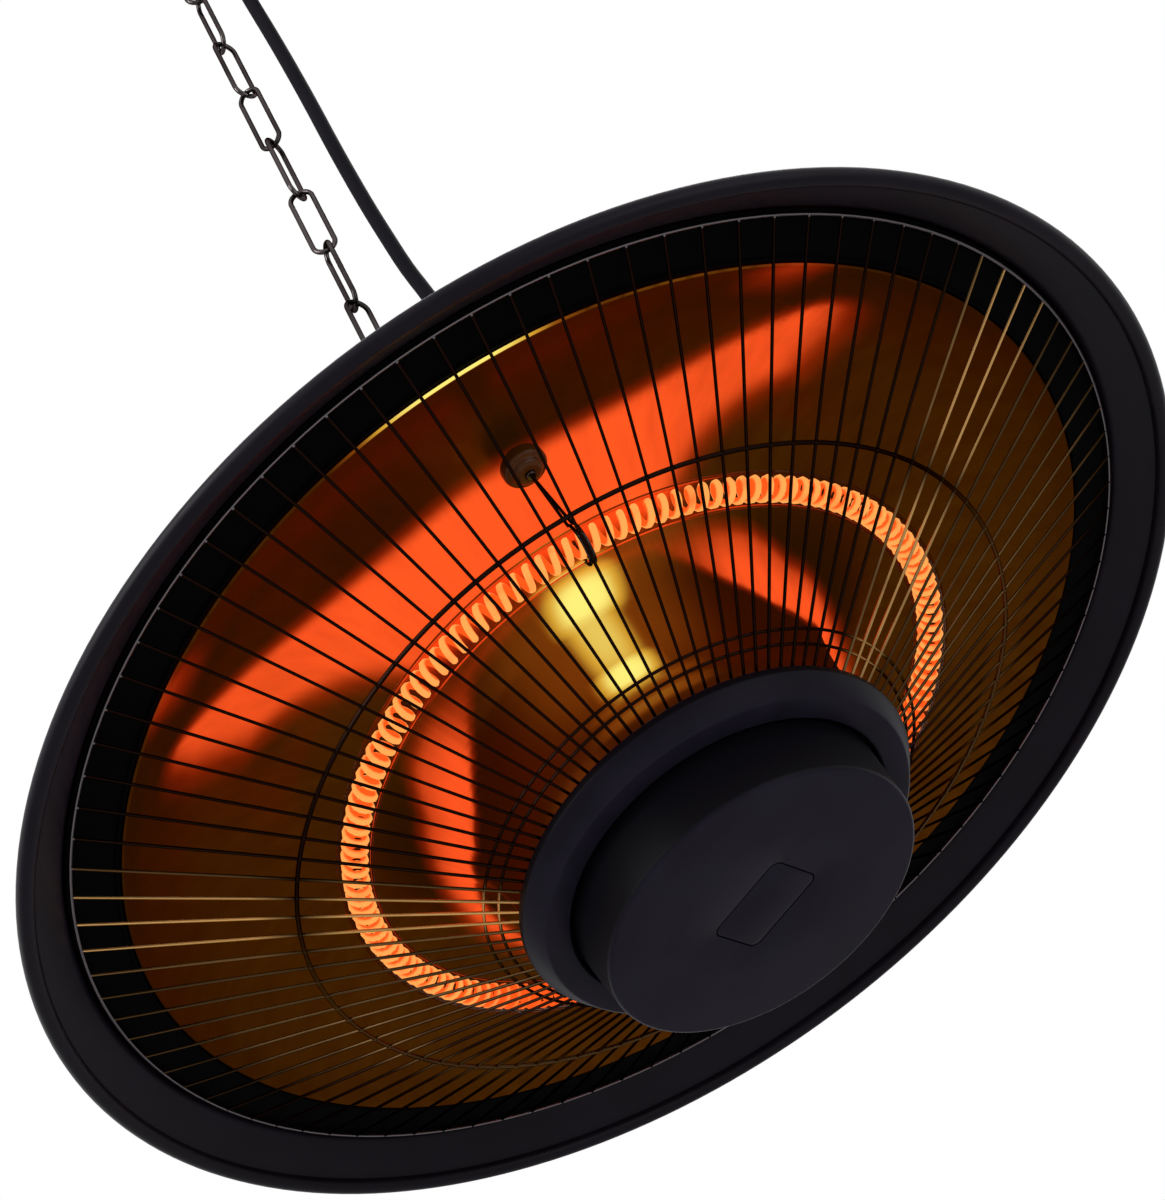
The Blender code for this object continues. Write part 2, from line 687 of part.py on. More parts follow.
def build_reflector(frame):
    """Build the spun reflector, with the two holes that the leads pass."""
    upper, lower = sheet_outline(reflector_path(), REFLECTOR_SHEET)
    reflector = turned("reflector", upper + lower[::-1], REFLECTOR_SIDES, "gold", frame)
    low, high = REFLECTOR_CEILING - CUT_OVERRUN, REFLECTOR_CEILING + CUT_OVERRUN
    for side in (-1, 1):
        x, y = -side * LEAD_HALF_SPACING, lead_foot(side).y
        hole = cylinder("reflector_hole", LEAD_HOLE_RADIUS, low, high, 12, None, frame, x, y)
        combine(reflector, hole, "DIFFERENCE")


def build_guard(frame):
    """Build the wire guard: a turned net of wires and rings, given body by a Wireframe."""
    mesh = bpy.data.meshes.new("wire_guard")
    run = GUARD_OUTER_RADIUS - GUARD_INNER_RADIUS
    rise = GUARD_OUTER_HEIGHT - GUARD_INNER_HEIGHT
    middle = GUARD_INNER_HEIGHT + rise * GUARD_MIDDLE_SHARE + GUARD_BULGE
    points = [
        (GUARD_OUTER_RADIUS, 0, GUARD_OUTER_HEIGHT),
        (GUARD_INNER_RADIUS + run * GUARD_MIDDLE_SHARE, 0, middle),
        (GUARD_INNER_RADIUS, 0, GUARD_INNER_HEIGHT),
    ]
    mesh.from_pydata(points, [(0, 1), (1, 2)], [])
    guard = place(bpy.data.objects.new("wire_guard", mesh), "guard_wire", frame)
    screw = guard.modifiers.new("Turn", "SCREW")
    screw.steps = screw.render_steps = GUARD_WIRE_COUNT
    screw.use_merge_vertices = True
    screw.merge_threshold = MERGE_DISTANCE
    net = guard.modifiers.new("Wires", "WIREFRAME")
    net.thickness = GUARD_WIRE
    net.use_boundary = True
    net.use_replace = True
    net.use_even_offset = True


def build_hub(frame):
    """Build the collar that clamps the guard, the cup under it, its screw and the bare badge."""
    top = HUB_TOP
    under = top - COLLAR_PLATE
    low = top - COLLAR_HEIGHT
    hole = POST_RADIUS + TOUCH_GAP
    outline = [
        (hole, top),
        (COLLAR_RADIUS - COLLAR_EDGE, top),
        (COLLAR_RADIUS, top - COLLAR_EDGE),
        (COLLAR_RADIUS, top - COLLAR_EDGE - COLLAR_BAND),
        (COLLAR_LOWER_RADIUS, low),
        (COLLAR_RECESS_RADIUS, low),
        (COLLAR_RECESS_RADIUS, under),
        (hole, under),
    ]
    turned("hub_collar", outline, HUB_SIDES, "hub_black", frame)

    cup_top = under - TOUCH_GAP
    floor = CUP_FLOOR + CUP_FLOOR_THICKNESS
    fillet = arc((CUP_BOTTOM_RADIUS - CUP_FILLET, CUP_FLOOR + CUP_FILLET), CUP_FILLET, 0, -90, 2)
    outline = [(0, floor), (CUP_BOTTOM_RADIUS - CUP_WALL, floor), (CUP_TOP_RADIUS - CUP_WALL, cup_top)]
    outline += [(CUP_TOP_RADIUS, cup_top)] + fillet + [(0, CUP_FLOOR)]
    cup = turned("hub_cup", outline, HUB_SIDES, "hub_black", frame)

    turn = math.radians(BADGE_TURN_DEG)
    groove = BADGE_GROOVE * 2
    pocket_top = CUP_FLOOR + BADGE_THICKNESS + TOUCH_GAP
    pocket_middle = (pocket_top + CUP_FLOOR - CUT_OVERRUN) / 2
    pocket = plate(
        "badge_pocket",
        [rounded_rectangle(BADGE_LENGTH + groove, BADGE_WIDTH + groove, BADGE_CORNER + BADGE_GROOVE)],
        pocket_top - CUP_FLOOR + CUT_OVERRUN, None, frame,
        location=(0, 0, pocket_middle), rotation=(0, 0, turn),
    )
    combine(cup, to_mesh(pocket), "DIFFERENCE")
    head_top = pocket_top + HUB_SCREW_HEAD_HEIGHT + TOUCH_GAP * 2
    head_hole = HUB_SCREW_HEAD_RADIUS + TOUCH_GAP
    recess = cylinder("head_hole", head_hole, CUP_FLOOR, head_top, 20, None, frame)
    combine(cup, recess, "DIFFERENCE")
    shank_hole = HUB_SCREW_RADIUS + TOUCH_GAP
    through = cylinder("shank_hole", shank_hole, CUP_FLOOR, floor + CUT_OVERRUN, 16, None, frame)
    combine(cup, through, "DIFFERENCE")

    outline = rounded_rectangle(BADGE_LENGTH, BADGE_WIDTH, BADGE_CORNER)
    where = (0, 0, CUP_FLOOR + BADGE_THICKNESS / 2)
    plate(
        "hub_badge_plate", [outline], BADGE_THICKNESS, "hub_black", frame,
        location=where, rotation=(0, 0, turn),
    )

    head = pocket_top + TOUCH_GAP
    shoulder = head + HUB_SCREW_HEAD_HEIGHT
    tip = POST_BOTTOM + POST_BORE_DEPTH - TOUCH_GAP
    outline = [(0, head), (HUB_SCREW_HEAD_RADIUS, head), (HUB_SCREW_HEAD_RADIUS, shoulder)]
    outline += [(HUB_SCREW_RADIUS, shoulder), (HUB_SCREW_RADIUS, tip), (0, tip)]
    turned("hub_screw", outline, 16, "zinc", frame)
    return under


def build_post(frame, collar_under):
    """Build the post that joins the hub to the shade, and its nuts."""
    top = DOME_TOP + POST_RISE
    bore = HUB_SCREW_RADIUS + TOUCH_GAP
    outline = [(0, top), (POST_RADIUS, top), (POST_RADIUS, POST_BOTTOM), (bore, POST_BOTTOM)]
    outline += [(bore, POST_BOTTOM + POST_BORE_DEPTH), (0, POST_BOTTOM + POST_BORE_DEPTH)]
    turned("centre_post", outline, 20, "zinc", frame)
    bore = POST_RADIUS + TOUCH_GAP
    upper = DOME_TOP + SHADE_SHEET / 2 + TOUCH_GAP
    hex_nut("post_top_nut", NUT_ACROSS, NUT_HEIGHT, bore, upper, frame)
    hex_nut("post_hub_nut", NUT_ACROSS, NUT_HEIGHT, bore, collar_under - TOUCH_GAP - NUT_HEIGHT, frame)
    seat = REFLECTOR_FLOOR + REFLECTOR_SHEET / 2 + TOUCH_GAP
    outline = [(bore, seat), (bore, seat + COLLAR_PLATE)]
    edge = REFLECTOR_SEAT_RADIUS + NUT_HEIGHT
    outline += [(edge, seat + COLLAR_PLATE), (edge, seat)]
    turned("reflector_washer", outline, 20, "zinc", frame)
    hex_nut("post_reflector_nut", NUT_ACROSS, NUT_HEIGHT, bore, seat + COLLAR_PLATE + TOUCH_GAP, frame)


def tube_end(side):
    """Return the heating tube's end at one side of its gap, and the way that it points."""
    turn = 90 + side * TUBE_GAP_DEG
    return on_circle(RING_RADIUS, turn, RING_HEIGHT), on_circle(1, turn - side * 90)


def ring_points():
    """Return the middle line of the heating tube, straight at its two ends."""
    (left, to_right), (right, to_left) = tube_end(1), tube_end(-1)
    sweep = 360 - 2 * TUBE_GAP_DEG
    turns = [90 + TUBE_GAP_DEG + sweep * i / TUBE_STEPS for i in range(1, TUBE_STEPS)]
    ring = [on_circle(RING_RADIUS, turn, RING_HEIGHT) for turn in turns]
    return [left, left - to_right * TUBE_RADIUS] + ring + [right - to_left * TUBE_RADIUS, right]


def build_heating_tube(frame):
    """Build the open quartz tube and the wound filament inside it."""
    tube = wire("quartz_tube", ring_points(), TUBE_RADIUS, "quartz", frame)
    tube.data.use_fill_caps = False
    tube = to_mesh(tube)
    wall = tube.modifiers.new("Wall", "SOLIDIFY")
    wall.thickness = TUBE_WALL
    wall.offset = -1
    count = FILAMENT_CURLS * FILAMENT_STEPS
    start = 90 + TUBE_GAP_DEG + FILAMENT_INSET_DEG
    sweep = 360 - 2 * (TUBE_GAP_DEG + FILAMENT_INSET_DEG)
    outside = RING_RADIUS + FILAMENT_COIL_RADIUS
    points = [on_circle(outside, 90 + TUBE_GAP_DEG, RING_HEIGHT)]
    for i in range(count + 1):
        curl = 2 * math.pi * i / FILAMENT_STEPS
        radius = RING_RADIUS + FILAMENT_COIL_RADIUS * math.cos(curl)
        height = RING_HEIGHT + FILAMENT_COIL_RADIUS * math.sin(curl)
        points.append(on_circle(radius, start + sweep * i / count, height))
    points.append(on_circle(outside, 90 - TUBE_GAP_DEG, RING_HEIGHT))
    wire("filament", points, FILAMENT_WIRE_RADIUS, "filament", frame, detail=1)
    print_gap("filament", points, FILAMENT_WIRE_RADIUS, FILAMENT_STEPS // 2)


def print_gap(name, points, radius, skip):
    """Print the least gap that a wound tube leaves to itself, measured on its points."""
    least = math.inf
    for i, point in enumerate(points):
        for other in points[i + skip : i + skip * 8]:
            least = min(least, (other - point).length)
    print(f"{name}: {len(points)} points, least gap to itself {(least - radius * 2) * 1000:.2f} mm")


def build_tube_mounts(frame):
    """Build the end caps, their brackets, the bead and wire opposite, and the leads."""
    for side, name in ((-1, "right"), (1, "left")):
        end, along = tube_end(side)
        middle = end + along * (TOUCH_GAP + CAP_LENGTH / 2)
        turn = math.radians(90 + side * TUBE_GAP_DEG)
        half = CAP_LENGTH / 2
        cap = cylinder(f"end_cap_{name}", CAP_RADIUS, -half, half, 20, "ceramic", frame)
        cap.location = middle
        cap.rotation_euler = (math.radians(90), 0, turn)

        inner = arc((0, 0), CAP_RADIUS + TOUCH_GAP, 0, 360, 20)[:-1]
        post = BRACKET_POST_WIDTH / 2
        ceiling = reflector_height(RING_RADIUS - post) - REFLECTOR_SHEET - TOUCH_GAP
        ring_radius = CAP_RADIUS + TOUCH_GAP + BRACKET_SHEET
        meet = math.degrees(math.asin(post / ring_radius))
        outer = arc((0, 0), ring_radius, 90 + meet, 450 - meet, 18)
        outer += [(post, ceiling - middle.z), (-post, ceiling - middle.z)]
        plate(
            f"tube_bracket_{name}", [outer, inner], BRACKET_WIDTH, "zinc", frame,
            location=middle, rotation=(math.radians(90), 0, turn),
        )

        build_lead(frame, side, name)

    top = reflector_height(SUPPORT_RING_RADIUS) - REFLECTOR_SHEET - TOUCH_GAP
    low = top - SUPPORT_BEAD_HEIGHT
    slope = SUPPORT_BEAD_RADIUS - SUPPORT_BEAD_NECK
    outline = [(0, top), (SUPPORT_BEAD_NECK, top), (SUPPORT_BEAD_RADIUS, top - slope)]
    outline += [(SUPPORT_BEAD_RADIUS, low + slope), (SUPPORT_BEAD_NECK, low), (0, low)]
    turned(
        "support_bead", outline, 20, "ceramic", frame,
        location=on_circle(SUPPORT_RING_RADIUS, SUPPORT_TURN_DEG),
    )
    loop_radius = TUBE_RADIUS + TOUCH_GAP + SUPPORT_WIRE_RADIUS
    meet = math.degrees(math.acos((SUPPORT_RING_RADIUS - RING_RADIUS) / loop_radius))
    loop = arc((RING_RADIUS, RING_HEIGHT), loop_radius, meet, meet - SUPPORT_LOOP_DEG, 10)
    points = [(SUPPORT_RING_RADIUS, low - TOUCH_GAP)] + loop
    turn = (0, 0, math.radians(SUPPORT_TURN_DEG))
    wire(
        "support_wire", [(r, 0, z) for r, z in points], SUPPORT_WIRE_RADIUS, "chain_metal",
        frame, detail=1, rotation=turn,
    )
    seat = reflector_height(CUTOUT_RING_RADIUS) + TOUCH_GAP
    at = on_circle(CUTOUT_RING_RADIUS, CUTOUT_TURN_DEG)
    cylinder("thermal_cutout", CUTOUT_RADIUS, seat, seat + CUTOUT_HEIGHT, 20, "zinc", frame, at.x, at.y)


def lead_hole_place(side):
    """Return where a lead passes the shade's top, beside the terminal block."""
    return side * -LEAD_SPREAD, TERMINAL_PLACE + TERMINAL_WIDTH / 2 + TOUCH_GAP + LEAD_BEND


def lead_foot(side):
    """Return where a lead leaves its end cap."""
    end, along = tube_end(side)
    return end + along * (CAP_LENGTH + TOUCH_GAP * 2)


def build_lead(frame, side, name):
    """Lay a lead from an end cap, through the reflector and the shade, to the terminal block."""
    foot = lead_foot(side)
    x = -side * LEAD_HALF_SPACING
    top_x, top_y = lead_hole_place(side)
    block_side = TERMINAL_PLACE + TERMINAL_WIDTH / 2 + TOUCH_GAP
    block_height = DOME_TOP + SHADE_SHEET / 2 + TOUCH_GAP + TERMINAL_HEIGHT / 2
    over = (REFLECTOR_CEILING + DOME_TOP) / 2
    guides = [
        foot,
        foot + tube_end(side)[1] * LEAD_RADIUS * 2,
        (x, foot.y, RING_HEIGHT + CAP_RADIUS),
        (x, foot.y, REFLECTOR_CEILING),
        (x, foot.y - CAP_LENGTH, over),
        (top_x, top_y + CAP_LENGTH, over + CAP_RADIUS),
        (top_x, top_y, DOME_TOP),
        (top_x, block_side + LEAD_RADIUS * 2, block_height),
        (top_x, block_side, block_height),
    ]
    wire(f"lead_{name}", smooth_route(guides, LEAD_POINT_STEP), LEAD_RADIUS, "sleeve", frame, detail=1)


def build_housing(frame):
    """Build the housing on the shade, with its vents and the holes for what it carries."""
    flange = DOME_TOP + SHADE_SHEET / 2 + TOUCH_GAP
    hole = EYE_SHANK_RADIUS + TOUCH_GAP
    inner = HOUSING_RADIUS - HOUSING_WALL
    corner = (HOUSING_RADIUS - HOUSING_FILLET, HOUSING_TOP - HOUSING_FILLET)
    outline = [(hole, HOUSING_TOP)] + arc(corner, HOUSING_FILLET, 90, 0, 3)
    outline += [(HOUSING_RADIUS, flange + HOUSING_WALL), (HOUSING_FLANGE_RADIUS, flange + HOUSING_WALL)]
    outline += [(HOUSING_FLANGE_RADIUS, flange), (inner, flange)]
    outline += arc(corner, HOUSING_FILLET - HOUSING_WALL, 0, 90, 2) + [(hole, HOUSING_TOP - HOUSING_WALL)]
    housing = turned("top_housing", outline, HUB_SIDES, "black_steel", frame)
    through = HOUSING_WALL + CUT_OVERRUN
    low, high = HOUSING_TOP - through, HOUSING_TOP + CUT_OVERRUN
    bore = GLAND_THREAD_RADIUS + TOUCH_GAP
    thread = cylinder("gland_hole", bore, low, high, 20, None, frame, GLAND_PLACE)
    combine(housing, thread, "DIFFERENCE")
    fit = TOUCH_GAP * 2
    size = (SWITCH_LENGTH + fit, SWITCH_WIDTH + fit, through * 2)
    window = box("switch_hole", size, (-SWITCH_PLACE, 0, HOUSING_TOP), None, frame)
    combine(housing, window, "DIFFERENCE")

    def cut_vents(made):
        for i in range(VENT_COUNT):
            turn = Matrix.Rotation(2 * math.pi * i / VENT_COUNT, 4, "Z")
            out = Matrix.Translation((HOUSING_RADIUS, 0, (HOUSING_TOP + flange) / 2))
            size = Matrix.Diagonal((through * 2, VENT_WIDTH, VENT_LENGTH, 1))
            bmesh.ops.create_cube(made, size=1, matrix=turn @ out @ size)

    vents = bpy.data.objects.new("vents", mesh_from("vents", cut_vents))
    combine(housing, place(vents, None, frame), "DIFFERENCE")
    screw_circle = (HOUSING_RADIUS + HOUSING_FLANGE_RADIUS) / 2
    step = 360 / HOUSING_SCREW_COUNT
    places = [on_circle(screw_circle, 30 + step * i).xy for i in range(HOUSING_SCREW_COUNT)]
    bottom = flange + HOUSING_WALL + TOUCH_GAP
    head = (HOUSING_SCREW_HEAD_RADIUS, bottom, HOUSING_SCREW_HEAD_HEIGHT)
    screw_heads("housing_screw", *head, places, frame)

    middle = (0, TERMINAL_PLACE, flange + TERMINAL_HEIGHT / 2)
    size = (TERMINAL_LENGTH, TERMINAL_WIDTH, TERMINAL_HEIGHT)
    box("terminal_block", size, middle, "ceramic", frame)
    step = TERMINAL_LENGTH / TERMINAL_SCREW_COUNT
    middle = (TERMINAL_SCREW_COUNT - 1) / 2
    places = [(step * (i - middle), TERMINAL_PLACE) for i in range(TERMINAL_SCREW_COUNT)]
    bottom = flange + TERMINAL_HEIGHT + TOUCH_GAP
    head = (HOUSING_SCREW_HEAD_RADIUS, bottom, HOUSING_SCREW_HEAD_HEIGHT)
    screw_heads("terminal_screw", *head, places, frame)


def build_eye(frame):
    """Build the eye bolt that the snap hook holds, and its nut."""
    ring_top = PIVOT_HEIGHT + SNAP_WIRE_RADIUS + TOUCH_GAP + EYE_WIRE_RADIUS
    centre = (0, ring_top - EYE_RING_RADIUS)
    circle = arc(centre, EYE_RING_RADIUS, 90, 450, 16)[:-1]
    ring = to_mesh(
        wire("eye_bolt", [(x, 0, z) for x, z in circle], EYE_WIRE_RADIUS, "zinc", frame, closed=True)
    )
    seat = HOUSING_TOP + TOUCH_GAP
    neck = centre[1] - EYE_RING_RADIUS
    outline = [(0, neck), (EYE_NECK_RADIUS, neck), (EYE_SHOULDER_RADIUS, seat + EYE_SHOULDER_EDGE)]
    outline += [(EYE_SHOULDER_RADIUS, seat), (EYE_SHANK_RADIUS, seat)]
    outline += [(EYE_SHANK_RADIUS, seat - EYE_SHANK_LENGTH), (0, seat - EYE_SHANK_LENGTH)]
    combine(ring, turned("eye_shank", outline, 14, None, frame), "UNION")
    low = HOUSING_TOP - HOUSING_WALL - TOUCH_GAP - EYE_NUT_HEIGHT
    bore = EYE_SHANK_RADIUS + TOUCH_GAP
    hex_nut("eye_nut", EYE_NUT_ACROSS, EYE_NUT_HEIGHT, bore, low, frame)


def build_switch(frame):
    """Build the rocker switch: its frame with a well, and the rocker on its axis."""
    seat = HOUSING_TOP + TOUCH_GAP
    axis = seat + SWITCH_RIM_HEIGHT
    rim = (SWITCH_LENGTH + SWITCH_RIM * 2, SWITCH_WIDTH + SWITCH_RIM * 2, SWITCH_RIM_HEIGHT)
    case = box("switch_frame", rim, (-SWITCH_PLACE, 0, seat + SWITCH_RIM_HEIGHT / 2), "rubber", frame)
    lap = SWITCH_RIM_HEIGHT / 2
    size = (SWITCH_LENGTH, SWITCH_WIDTH, SWITCH_BODY_DEPTH + lap)
    body = box("switch_body", size, (-SWITCH_PLACE, 0, seat + lap - size[2] / 2), None, frame)
    combine(case, body, "UNION")
    reach = ROCKER_RADIUS + TOUCH_GAP
    size = (reach * 2, ROCKER_WIDTH + TOUCH_GAP * 2, reach + CUT_OVERRUN)
    well = box("switch_well", size, (-SWITCH_PLACE, 0, axis + CUT_OVERRUN - size[2] / 2), None, frame)
    combine(case, well, "DIFFERENCE")
    rise = ROCKER_THROW_DEG * ROCKER_RISE_SHARE
    outline = arc((0, 0), ROCKER_RADIUS, 180 - rise, 360 + rise, ROCKER_STEPS * 2) + [(0, 0)]
    plate(
        "switch_rocker", [outline], ROCKER_WIDTH, "rubber", frame,
        location=(-SWITCH_PLACE, 0, axis),
        rotation=(math.radians(90), math.radians(-ROCKER_THROW_DEG), 0),
    )


def build_gland(frame):
    """Build the cord gland with its tapered strain relief, and its locknut."""
    seat = HOUSING_TOP + TOUCH_GAP
    nut_top = seat + GLAND_NUT_HEIGHT
    outline = [(0, seat + GLAND_HEIGHT), (GLAND_TIP_RADIUS, seat + GLAND_HEIGHT)]
    outline += [(GLAND_NECK_RADIUS, nut_top + GLAND_NUT_HEIGHT), (GLAND_NUT_RADIUS, nut_top)]
    outline += [(GLAND_NUT_RADIUS, seat), (GLAND_THREAD_RADIUS, seat)]
    outline += [(GLAND_THREAD_RADIUS, seat - GLAND_THREAD_LENGTH), (0, seat - GLAND_THREAD_LENGTH)]
    turned("cord_gland", outline, 20, "rubber", frame, location=(GLAND_PLACE, 0, 0))
    low = HOUSING_TOP - HOUSING_WALL - TOUCH_GAP - EYE_NUT_HEIGHT
    bore = GLAND_THREAD_RADIUS + TOUCH_GAP
    hex_nut("gland_locknut", GLAND_NUT_RADIUS * 2, EYE_NUT_HEIGHT, bore, low, frame, GLAND_PLACE)


def coil_points():
    """Return the middle line of the cord's coil: one flat spiral in, one out beside it."""
    centre = Vector((COIL_SIDE + COIL_OUTER_RADIUS, 0, -COIL_DROP))
    inner = COIL_OUTER_RADIUS - COIL_PITCH * COIL_LOOPS_IN
    total = COIL_LOOPS_IN + 0.5 + COIL_LOOPS_OUT
    points = []
    for i in range(round(total * COIL_STEPS) + 1):
        loops = i / COIL_STEPS
        climb = min(max((loops - COIL_LOOPS_IN) * 2, 0), 1)
        radius = COIL_OUTER_RADIUS - COIL_PITCH * loops
        if loops > COIL_LOOPS_IN:
            radius = inner + COIL_PITCH * max(loops - COIL_LOOPS_IN - 0.5, 0)
            radius -= COIL_PITCH * COIL_DIP_SHARE * math.sin(math.pi * climb)
        turn = math.pi * (1 - 2 * loops)
        depth = COIL_PITCH * (climb - 0.5)
        points.append(centre + Vector((radius * math.cos(turn), depth, radius * math.sin(turn))))
    leave = 2 * math.pi * total
    along = Vector((math.sin(leave), 0, math.cos(leave)))
    first = points[0] - Vector((0, 0, CORD_RADIUS * 2))
    return [first] + points + [points[-1] + along * COIL_END], along, leave


def build_cord(hanging, heater, pivot):
    """Lay the cord from the gland up past the chain, its coil, the tie and the plug."""
    to_hanging = hanging.matrix_world.inverted() @ heater.matrix_world
    tip = Vector((GLAND_PLACE, 0, HOUSING_TOP + GLAND_HEIGHT + TOUCH_GAP * 2))
    start = to_hanging @ tip
    second = to_hanging @ (tip + Vector((0, 0, CORD_RADIUS * 2)))
    coil, along, leave = coil_points()
    end = coil[0] - Vector((0, 0, TOUCH_GAP))
    before = end - Vector((0, 0, CORD_RADIUS * 2))
    rise = -COIL_DROP - pivot.z
    climb = [pivot + Vector((x, y, rise * share)) for x, y, share in CORD_ROUTE_SHARES]
    route = [start, second] + climb + [before, end]
    wire("power_cord", smooth_route(route, CORD_POINT_STEP), CORD_RADIUS, "rubber", hanging)
    wire("cord_coil", coil, CORD_RADIUS, "rubber", hanging, detail=1)
    print_gap("cord_coil", coil, CORD_RADIUS, COIL_STEPS // 2)

    length, depth = TIE_RIGHT - TIE_LEFT, TIE_HALF_DEPTH * 2
    inner = rounded_rectangle(length, depth, TIE_HALF_DEPTH * TIE_CORNER_SHARE)
    outer_corner = TIE_HALF_DEPTH * TIE_CORNER_SHARE + TIE_SHEET
    outer = rounded_rectangle(length + TIE_SHEET * 2, depth + TIE_SHEET * 2, outer_corner)
    where = ((TIE_LEFT + TIE_RIGHT) / 2, 0, -COIL_DROP)
    plate("cord_tie", [outer, inner], TIE_WIDTH, "rubber", hanging, location=where)

    body = PLUG_RELIEF_LENGTH + PLUG_SHOULDER
    face = body + PLUG_LENGTH
    outline = [(0, 0), (PLUG_RELIEF_RADIUS, 0), (PLUG_NECK_RADIUS, PLUG_RELIEF_LENGTH)]
    outline += [(PLUG_RADIUS, body), (PLUG_RADIUS, face), (0, face)]
    at = coil[-1] + along * TOUCH_GAP
    plug = empty("plug_frame", hanging, location=at, rotation=(0, leave, 0))
    turned("plug_body", outline, 28, "rubber", plug)
    low = face + TOUCH_GAP
    for side, name in ((-1, "plug_pin_1"), (1, "plug_pin_2")):
        y = side * PIN_SPACING / 2
        cylinder(name, PIN_RADIUS, low, low + PIN_LENGTH, 12, "pin_brass", plug, 0, y)


def main():
    """Build the whole heater."""
    build_ceiling_fitting()
    hanging = hanging_frame()
    crown = build_chain(hanging)
    low = crown + LINK_WIRE_RADIUS + SNAP_WIRE_RADIUS + TOUCH_GAP - SNAP_LENGTH
    pivot = Vector((0, 0, low))
    build_snap_hook(hanging, pivot)
    tilt = -math.radians(HEATER_TILT_DEG)
    tilted = empty("heater_pivot", hanging, location=pivot, rotation=(0, tilt, 0))
    frame = empty("heater_frame", tilted, location=(0, 0, -PIVOT_HEIGHT))
    build_shade(frame)
    build_ledge_ring(frame)
    build_reflector(frame)
    build_guard(frame)
    under = build_hub(frame)
    build_post(frame, under)
    build_heating_tube(frame)
    build_tube_mounts(frame)
    build_housing(frame)
    build_eye(frame)
    build_switch(frame)
    build_gland(frame)
    bpy.context.view_layer.update()
    build_cord(hanging, frame, pivot)


clear_scene()
PARTS = new_collection("infrared_patio_heater")
CUTTERS = new_collection("cutters")
main()
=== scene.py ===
"""Dresses an infrared patio heater that hangs from the ceiling on a chain.

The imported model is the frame: every piece here rides on one of its bodies. The heater
is drawn in a frame of its own, whose Z axis is the heater's axis and whose origin is
the centre of the rim. Lengths are in metres.
"""

from __future__ import annotations

import json
import logging
import math
from collections.abc import Callable, Sequence
from dataclasses import dataclass
from enum import Enum

import bmesh
import bpy
from bmesh.types import BMEdge, BMesh, BMFace, BMVert
from bpy.types import NodeSocket as Socket
from mathutils import Matrix, Vector


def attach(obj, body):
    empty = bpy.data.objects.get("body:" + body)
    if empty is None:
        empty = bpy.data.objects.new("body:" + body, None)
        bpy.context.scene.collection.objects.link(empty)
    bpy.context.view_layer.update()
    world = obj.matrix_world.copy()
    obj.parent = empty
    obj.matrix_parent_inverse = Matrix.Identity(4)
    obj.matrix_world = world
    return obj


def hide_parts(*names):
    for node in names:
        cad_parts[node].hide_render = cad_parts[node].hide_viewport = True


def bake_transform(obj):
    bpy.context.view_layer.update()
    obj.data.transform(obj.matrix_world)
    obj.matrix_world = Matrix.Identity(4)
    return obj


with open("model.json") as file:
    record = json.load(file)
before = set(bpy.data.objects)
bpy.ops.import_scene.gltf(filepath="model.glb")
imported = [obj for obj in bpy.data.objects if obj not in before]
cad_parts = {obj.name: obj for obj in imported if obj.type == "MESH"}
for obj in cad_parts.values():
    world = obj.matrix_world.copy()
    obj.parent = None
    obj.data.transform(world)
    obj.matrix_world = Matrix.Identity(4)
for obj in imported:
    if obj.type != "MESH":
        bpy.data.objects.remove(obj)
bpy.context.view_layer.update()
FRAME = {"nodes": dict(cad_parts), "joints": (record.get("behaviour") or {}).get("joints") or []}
LOG = logging.getLogger("patio_heater")

Colour = tuple[float, float, float]
Point = tuple[float, float]
Outline = list[Point]

# Vertices nearer than this are one: in a solid, and at the seams of a swept tube.
WELD = 1e-6
SEAM = 2e-5
# How many chords of a swept tube are extruded at a time.
STRETCH = 32
# How far apart pieces stand that touch.
GAP = 0.0003
FULL_TURN = 2 * math.pi
# How deep the marks on rubbed or spun metal are.
FINE_MARK = 0.00001


class Body(Enum):
    """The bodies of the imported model."""

    CEILING = "ceiling_mount"
    TOP_LINK = "top_link"
    CHAIN = "chain"
    GATE = "gate"
    HEATER = "heater"
    ROCKER = "rocker"


class Slot(Enum):
    """The record's material slots."""

    BLACK_STEEL = "black_steel"
    HUB_BLACK = "hub_black"
    GOLD = "gold_reflector"
    GUARD = "guard_wire"
    CHAIN = "chain_metal"
    ZINC = "zinc"
    QUARTZ = "quartz"
    FILAMENT = "filament"
    CERAMIC = "ceramic"
    RUBBER = "rubber"
    PLASTIC = "black_plastic"
    SLEEVE = "sleeve"
    PIN = "pin_brass"


# Frames


@dataclass(frozen=True)
class Hanging:
    """Where the chain and the heater hang."""

    pivot_drop: float = 0.42045
    pivot_height: float = 0.140
    heater_tilt_deg: float = 7.23

    def chain(self) -> Matrix:
        """Return the frame of all that hangs in the ceiling hook, leaning about its bowl."""
        places = {joint["name"]: Vector(joint["pos_m"]) for joint in FRAME["joints"]}
        bowl = places["hook_swing"]
        fall = places["heater_tilt"] - bowl
        lean = Matrix.Rotation(math.atan2(-fall.x, -fall.z), 4, "Y")
        return Matrix.Translation(bowl) @ lean @ Matrix.Translation(-bowl)

    def pivot(self) -> Matrix:
        """Return the chain's frame, moved to where the heater's eye hangs in the snap hook."""
        return self.chain() @ raised(-self.pivot_drop)

    def heater(self) -> Matrix:
        """Return the heater's frame, whose origin is the centre of the rim."""
        return self.pivot() @ rotated(-self.heater_tilt_deg, "Y") @ raised(-self.pivot_height)


HANGING = Hanging()


# Shapes


